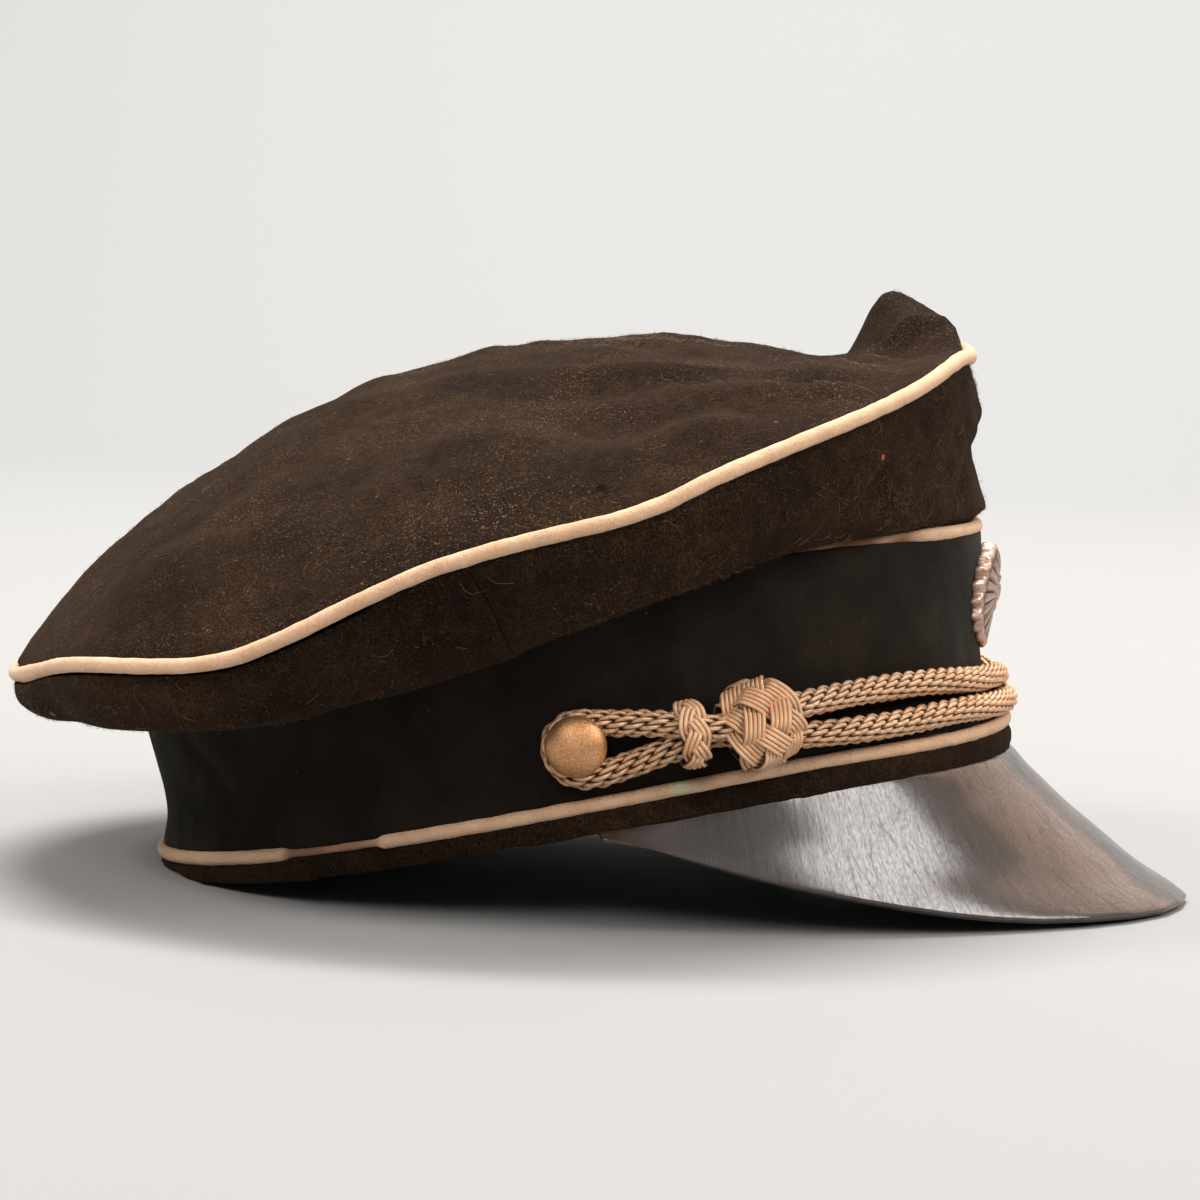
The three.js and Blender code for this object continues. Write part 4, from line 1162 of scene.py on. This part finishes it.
KNOT_COLUMNS = (
    "name", "forward", "height", "out", "leads", "bights", "phase", "half_long", "half_high", "half_deep",
    "squeeze", "cords", "cord_radius", "wave", "tilt", "first",
)
KNOT_ROWS = (
    ("small_knot", 23.6, 12.1, 7.4, 3, 7, 6, 1.9, 6.8, 5.8, 0.08, 3, 0.54, 0.56, 0, 1),
    ("large_knot", 37.8, 11.7, 8.4, 6, 5, 43, 6.9, 9.4, 7.4, 0.34, 5, 0.5, 0.66, 20, -1),
)
KNOT_STEPS = 1000
KNOT_SIDES = 6
KNOT_CORE_INSET = 0.9
KNOT_BACK_SHORT = 0.35


def braid(name, middle, axis, outward, knot):
    """Cords side by side in a woven ring about an oval drum, and the drum inside."""
    axis = unit(axis)
    upward = unit(np.cross(axis, outward))
    upward *= np.sign(upward[2])
    outward = unit(outward - axis * (outward @ axis))
    c, s = math.cos(math.radians(knot["tilt"])), math.sin(math.radians(knot["tilt"]))
    axis, upward = axis * c + upward * s, upward * c - axis * s
    leads, bights = knot["leads"], knot["bights"]
    t = np.linspace(0, 2 * math.pi, KNOT_STEPS, endpoint=False)
    meets = sorted(
        (math.pi * (1 + 2 * i) / (2 * bights) + math.pi * j / leads) % (2 * math.pi)
        for i in range(2 * bights) for j in range(1, leads)
    )
    first = next(i for i, meet in enumerate(meets) if meet > 1.5 * math.pi / bights)
    meets = np.array([meets[-1] - 2 * math.pi, *meets, meets[0] + 2 * math.pi])
    wave = np.cos(math.pi * (np.interp(t, meets, np.arange(len(meets))) - first - 1))
    wave = knot["first"] * knot["wave"] * np.tanh(2 * wave) / math.tanh(2)
    turn, share = leads * t + math.radians(knot["phase"]), np.sin(bights * t)
    squeeze = 1 - knot["squeeze"] * share**2
    high, deep = knot["half_high"] * squeeze + wave, knot["half_deep"] * squeeze + wave
    reach = knot["half_long"] * (1 - KNOT_BACK_SHORT * (1 - np.cos(turn)) / 2)
    path = np.array(middle) + axis * (reach * share)[:, None]
    path = path + upward * (high * np.sin(turn))[:, None] + outward * (deep * np.cos(turn))[:, None]
    lean_up, lean_out = np.sin(turn) / knot["half_high"], np.cos(turn) / knot["half_deep"]
    out = upward * lean_up[:, None] + outward * lean_out[:, None]
    _, out, across = frames_of(path, unit(out))
    places = (np.arange(knot["cords"]) - (knot["cords"] - 1) / 2) * 2 * knot["cord_radius"]
    lines = path[None] + places[:, None, None] * across[None]
    outs = np.broadcast_to(out, lines.shape)
    radii = np.full((knot["cords"], KNOT_STEPS, KNOT_SIDES), knot["cord_radius"])
    piece, points = tubes(name, lines, outs, radii, KNOT_SIDES)
    # Painted shade: each cord is darkened on its side turned in to the drum and where it dips under a
    # crossing.
    rise = ((points - lines[:, :, None]) * outs[:, :, None]).sum(axis=-1) / knot["cord_radius"]
    set_shade(piece, 1 - smoothstep(-0.35, 0.45, rise + 0.35 * (wave[None, :, None] / knot["wave"])))
    core = added(bpy.ops.mesh.primitive_uv_sphere_add, segments=32, ring_count=16)
    bpy.ops.object.shade_smooth()
    core.name = core.data.name = name.replace("weave", "core")
    points = points_of(core) * MM
    points[:, 1:] /= np.sqrt(np.maximum(np.linalg.norm(points[:, 1:], axis=1), 0.01))[:, None]
    half_sizes = np.array([knot["half_long"] + 0.6, knot["half_high"], knot["half_deep"]])
    half_sizes[1:] -= KNOT_CORE_INSET
    spokes = np.stack([axis, upward, outward]) * half_sizes[:, None]
    set_points(core, points @ spokes + np.array(middle))
    return piece, core


# Painted shade: the cores are a dark colour that stands for the shade inside each knot.
knot_core_painted_shade = plain_material("knot_core_painted_shade", colour(34, 28, 22), 0.9)
for side, word in ((-1, "right"), (1, "left")):
    for knot in named(KNOT_COLUMNS, KNOT_ROWS):
        place = on_band(side, knot["forward"], knot["height"], knot["out"])
        ahead = on_band(side, knot["forward"] + 1, knot["height"], knot["out"])
        outward = place - on_band(side, knot["forward"], knot["height"], 0.0)
        weave, core = braid(f"{knot['name']}_{word}_weave", place, ahead - place, unit(outward), knot)
        finish_piece(weave, thread, "cord", f"{knot['name']}_{word}")
        finish_piece(core, knot_core_painted_shade, "cord")

# Buttons: pressed brass domes with a fine pebbled face, once silvered and now tarnished to bronze.
# Each is sewn on by a shank that the chin cord passes round.

BUTTON_HEIGHT = 14.0
BUTTON_RADIUS = 6.85
BUTTON_BACK, BUTTON_RISE, BUTTON_EDGE = 6.6, 3.9, 0.7
SHANK_RADIUS = 2.0


def button_material():
    """Bronze with worn silvering, dirt in its grain and a fine pebbled face."""
    material, tree, shader, worn = new_material(
        "tarnished_button_metal", (colour(206, 138, 84), colour(232, 186, 140)), 9.0, 0.5, 0.42,
        Metallic=0.85, Specular_IOR_Level=0.5,
    )
    dirt = put_group(tree, grain, Size=0.5, Low=0.6, High=1.25)
    feed(shader, {"Base Color": mix(tree, 1.0, worn, dirt, "MULTIPLY")})
    put_bumps(tree, shader, (put_group(tree, nap, Grain=0.42, Clumps=1.2, Clump_Share=0.25), 0.14))
    return material


button_metal = button_material()
for side, word in ((-1, "right"), (1, "left")):
    base = on_band(side, 0.0, BUTTON_HEIGHT, 0.0)
    outward = Vector(unit(on_band(side, 0.0, BUTTON_HEIGHT, 5.0) - base))
    button = added(bpy.ops.mesh.primitive_uv_sphere_add, segments=96, ring_count=48)
    button.name = button.data.name = f"button_{word}_dome"
    edit_all()
    bpy.ops.mesh.bisect(plane_co=(0, 0, 0), plane_no=(0, 0, 1), clear_inner=True)
    bpy.ops.mesh.select_all(action="SELECT")
    dome = (BUTTON_RADIUS * MM, BUTTON_RADIUS * MM, BUTTON_RISE * MM)
    bpy.ops.transform.resize(value=dome, center_override=(0, 0, 0))
    bpy.ops.mesh.select_all(action="DESELECT")
    bpy.ops.mesh.select_non_manifold()
    bpy.ops.mesh.extrude_edges_move(TRANSFORM_OT_translate={"value": (0, 0, -BUTTON_EDGE * MM)})
    bpy.ops.mesh.edge_face_add()
    bpy.ops.mesh.select_all(action="SELECT")
    bpy.ops.mesh.normals_make_consistent(inside=False)
    bpy.ops.object.mode_set(mode="OBJECT")
    bpy.ops.object.shade_smooth_by_angle(angle=math.radians(40))
    added(
        bpy.ops.mesh.primitive_cylinder_add, vertices=32, radius=SHANK_RADIUS * MM,
        depth=BUTTON_BACK * MM, location=(0, 0, -(BUTTON_EDGE + BUTTON_BACK / 2) * MM),
    )
    button.select_set(True)
    bpy.context.view_layer.objects.active = button
    bpy.ops.object.join()
    edit_all()
    bpy.ops.transform.translate(value=(0, 0, BUTTON_BACK * MM))
    bpy.ops.object.mode_set(mode="OBJECT")
    aim = outward.to_track_quat("Z", "Y").to_matrix().to_4x4()
    button.data.transform(Matrix.Translation(Vector(base) * MM) @ aim)
    finish_piece(button, button_metal, "button_metal", f"button_{word}")

# Front badge: a plain fluted oval rosette pressed from thin metal, domed most at its top, its
# silvering worn to a pinkish grey and dark in the flutes. It is bent round the front of the band.

BADGE_HALF_WIDE, BADGE_HALF_HIGH, BADGE_UP = 16.5, 11.8, 28.4
BADGE_FLUTES, BADGE_FLUTE = 20, 0.05
BADGE_EDGE, BADGE_RISE, BADGE_TOP_SWELL = 1.2, 4.3, 0.4
BADGE_TURNS, BADGE_RINGS = 160, 30
BADGE_BACK = 0.15


def badge_profile(share, turn):
    """Height of the rosette's face, and how deep in a crevice it lies, 0 to 1."""
    dome = BADGE_EDGE + (BADGE_RISE - BADGE_EDGE) * np.sqrt(np.clip(1 - share**2, 0, 1))
    dome = dome * (1 + BADGE_TOP_SWELL * share * np.sin(turn))
    petal = smoothstep(0.34, 0.5, share) * (1 - smoothstep(0.8, 0.9, share))
    ridge = np.abs(np.cos(BADGE_FLUTES / 2 * turn)) ** 0.7
    beads = np.exp(-(((share - 0.3) / 0.045) ** 2)) * (0.6 + 0.4 * np.cos(BADGE_FLUTES * turn))
    boss = np.sqrt(np.clip(1 - (share / 0.2) ** 2, 0, 1))
    rim = np.exp(-(((share - 0.93) / 0.05) ** 2)) * (0.8 + 0.2 * np.cos(3 * BADGE_FLUTES * turn))
    height = dome + 0.75 * petal * (ridge - 0.7) + 0.55 * beads + 0.9 * boss + 0.35 * rim
    crevice = petal * (1 - ridge) * 1.3 + 0.8 * np.exp(-(((share - 0.87) / 0.025) ** 2))
    crevice += 0.8 * np.exp(-(((share - 0.235) / 0.02) ** 2)) + 0.7 * np.exp(-(((share - 0.375) / 0.02) ** 2))
    return height, np.clip(crevice, 0, 1)


def badge_material():
    """Worn silvering that shows brown in patches, and dark in the crevices."""
    material, tree, shader, worn = new_material(
        "worn_silvering", (colour(222, 196, 182), colour(186, 148, 126)), 5.0, 0.5, 0.38,
        Metallic=0.8, Specular_IOR_Level=0.5,
    )
    dirt = put_group(tree, grain, Size=0.6, Low=0.7, High=1.15)
    metal = mix(tree, shade_of(tree), mix(tree, 1.0, worn, dirt, "MULTIPLY"), colour(52, 38, 30))
    feed(shader, {"Base Color": metal})
    put_bumps(tree, shader, (put_group(tree, nap, Grain=0.5, Clumps=1.8, Clump_Share=0.5), 0.08))
    return material


angle = np.linspace(0, 2 * math.pi, BADGE_TURNS, endpoint=False)
shares = np.concatenate([np.linspace(0.03, 1, BADGE_RINGS), np.linspace(1, 0.03, 8)])
share, angle = np.meshgrid(shares, angle)
back_face = np.arange(len(shares))[None] >= BADGE_RINGS
face_height, crevice = badge_profile(share, angle)
flute = 1 + BADGE_FLUTE * np.cos(BADGE_FLUTES * angle) * share**3
lateral = BADGE_HALF_WIDE * share * flute * np.cos(angle)
upward = BADGE_UP + BADGE_HALF_HIGH * share * flute * np.sin(angle)
out = np.where(back_face, BADGE_BACK, face_height)
shape = band_points(np.degrees(lateral / RIM_HALF_WIDTH), out, upward)
index = np.arange(share.size).reshape(share.shape)
ahead = np.roll(index, -1, axis=0)
walls = np.stack([index[:, :-1], index[:, 1:], ahead[:, 1:], ahead[:, :-1]], axis=-1).reshape(-1, 4)
ends = [index[::-1, 0].tolist(), index[:, -1].tolist()]
front_badge = mesh_piece("front_badge_rosette", shape, walls.tolist() + ends)
set_shade(front_badge, np.where(back_face, 0.5, crevice))
make_active(front_badge)
edit_all()
bpy.ops.mesh.normals_make_consistent(inside=False)
bpy.ops.object.mode_set(mode="OBJECT")
bpy.ops.object.shade_smooth_by_angle(angle=math.radians(50))
finish_piece(front_badge, badge_material(), "badge_metal", "front_badge")
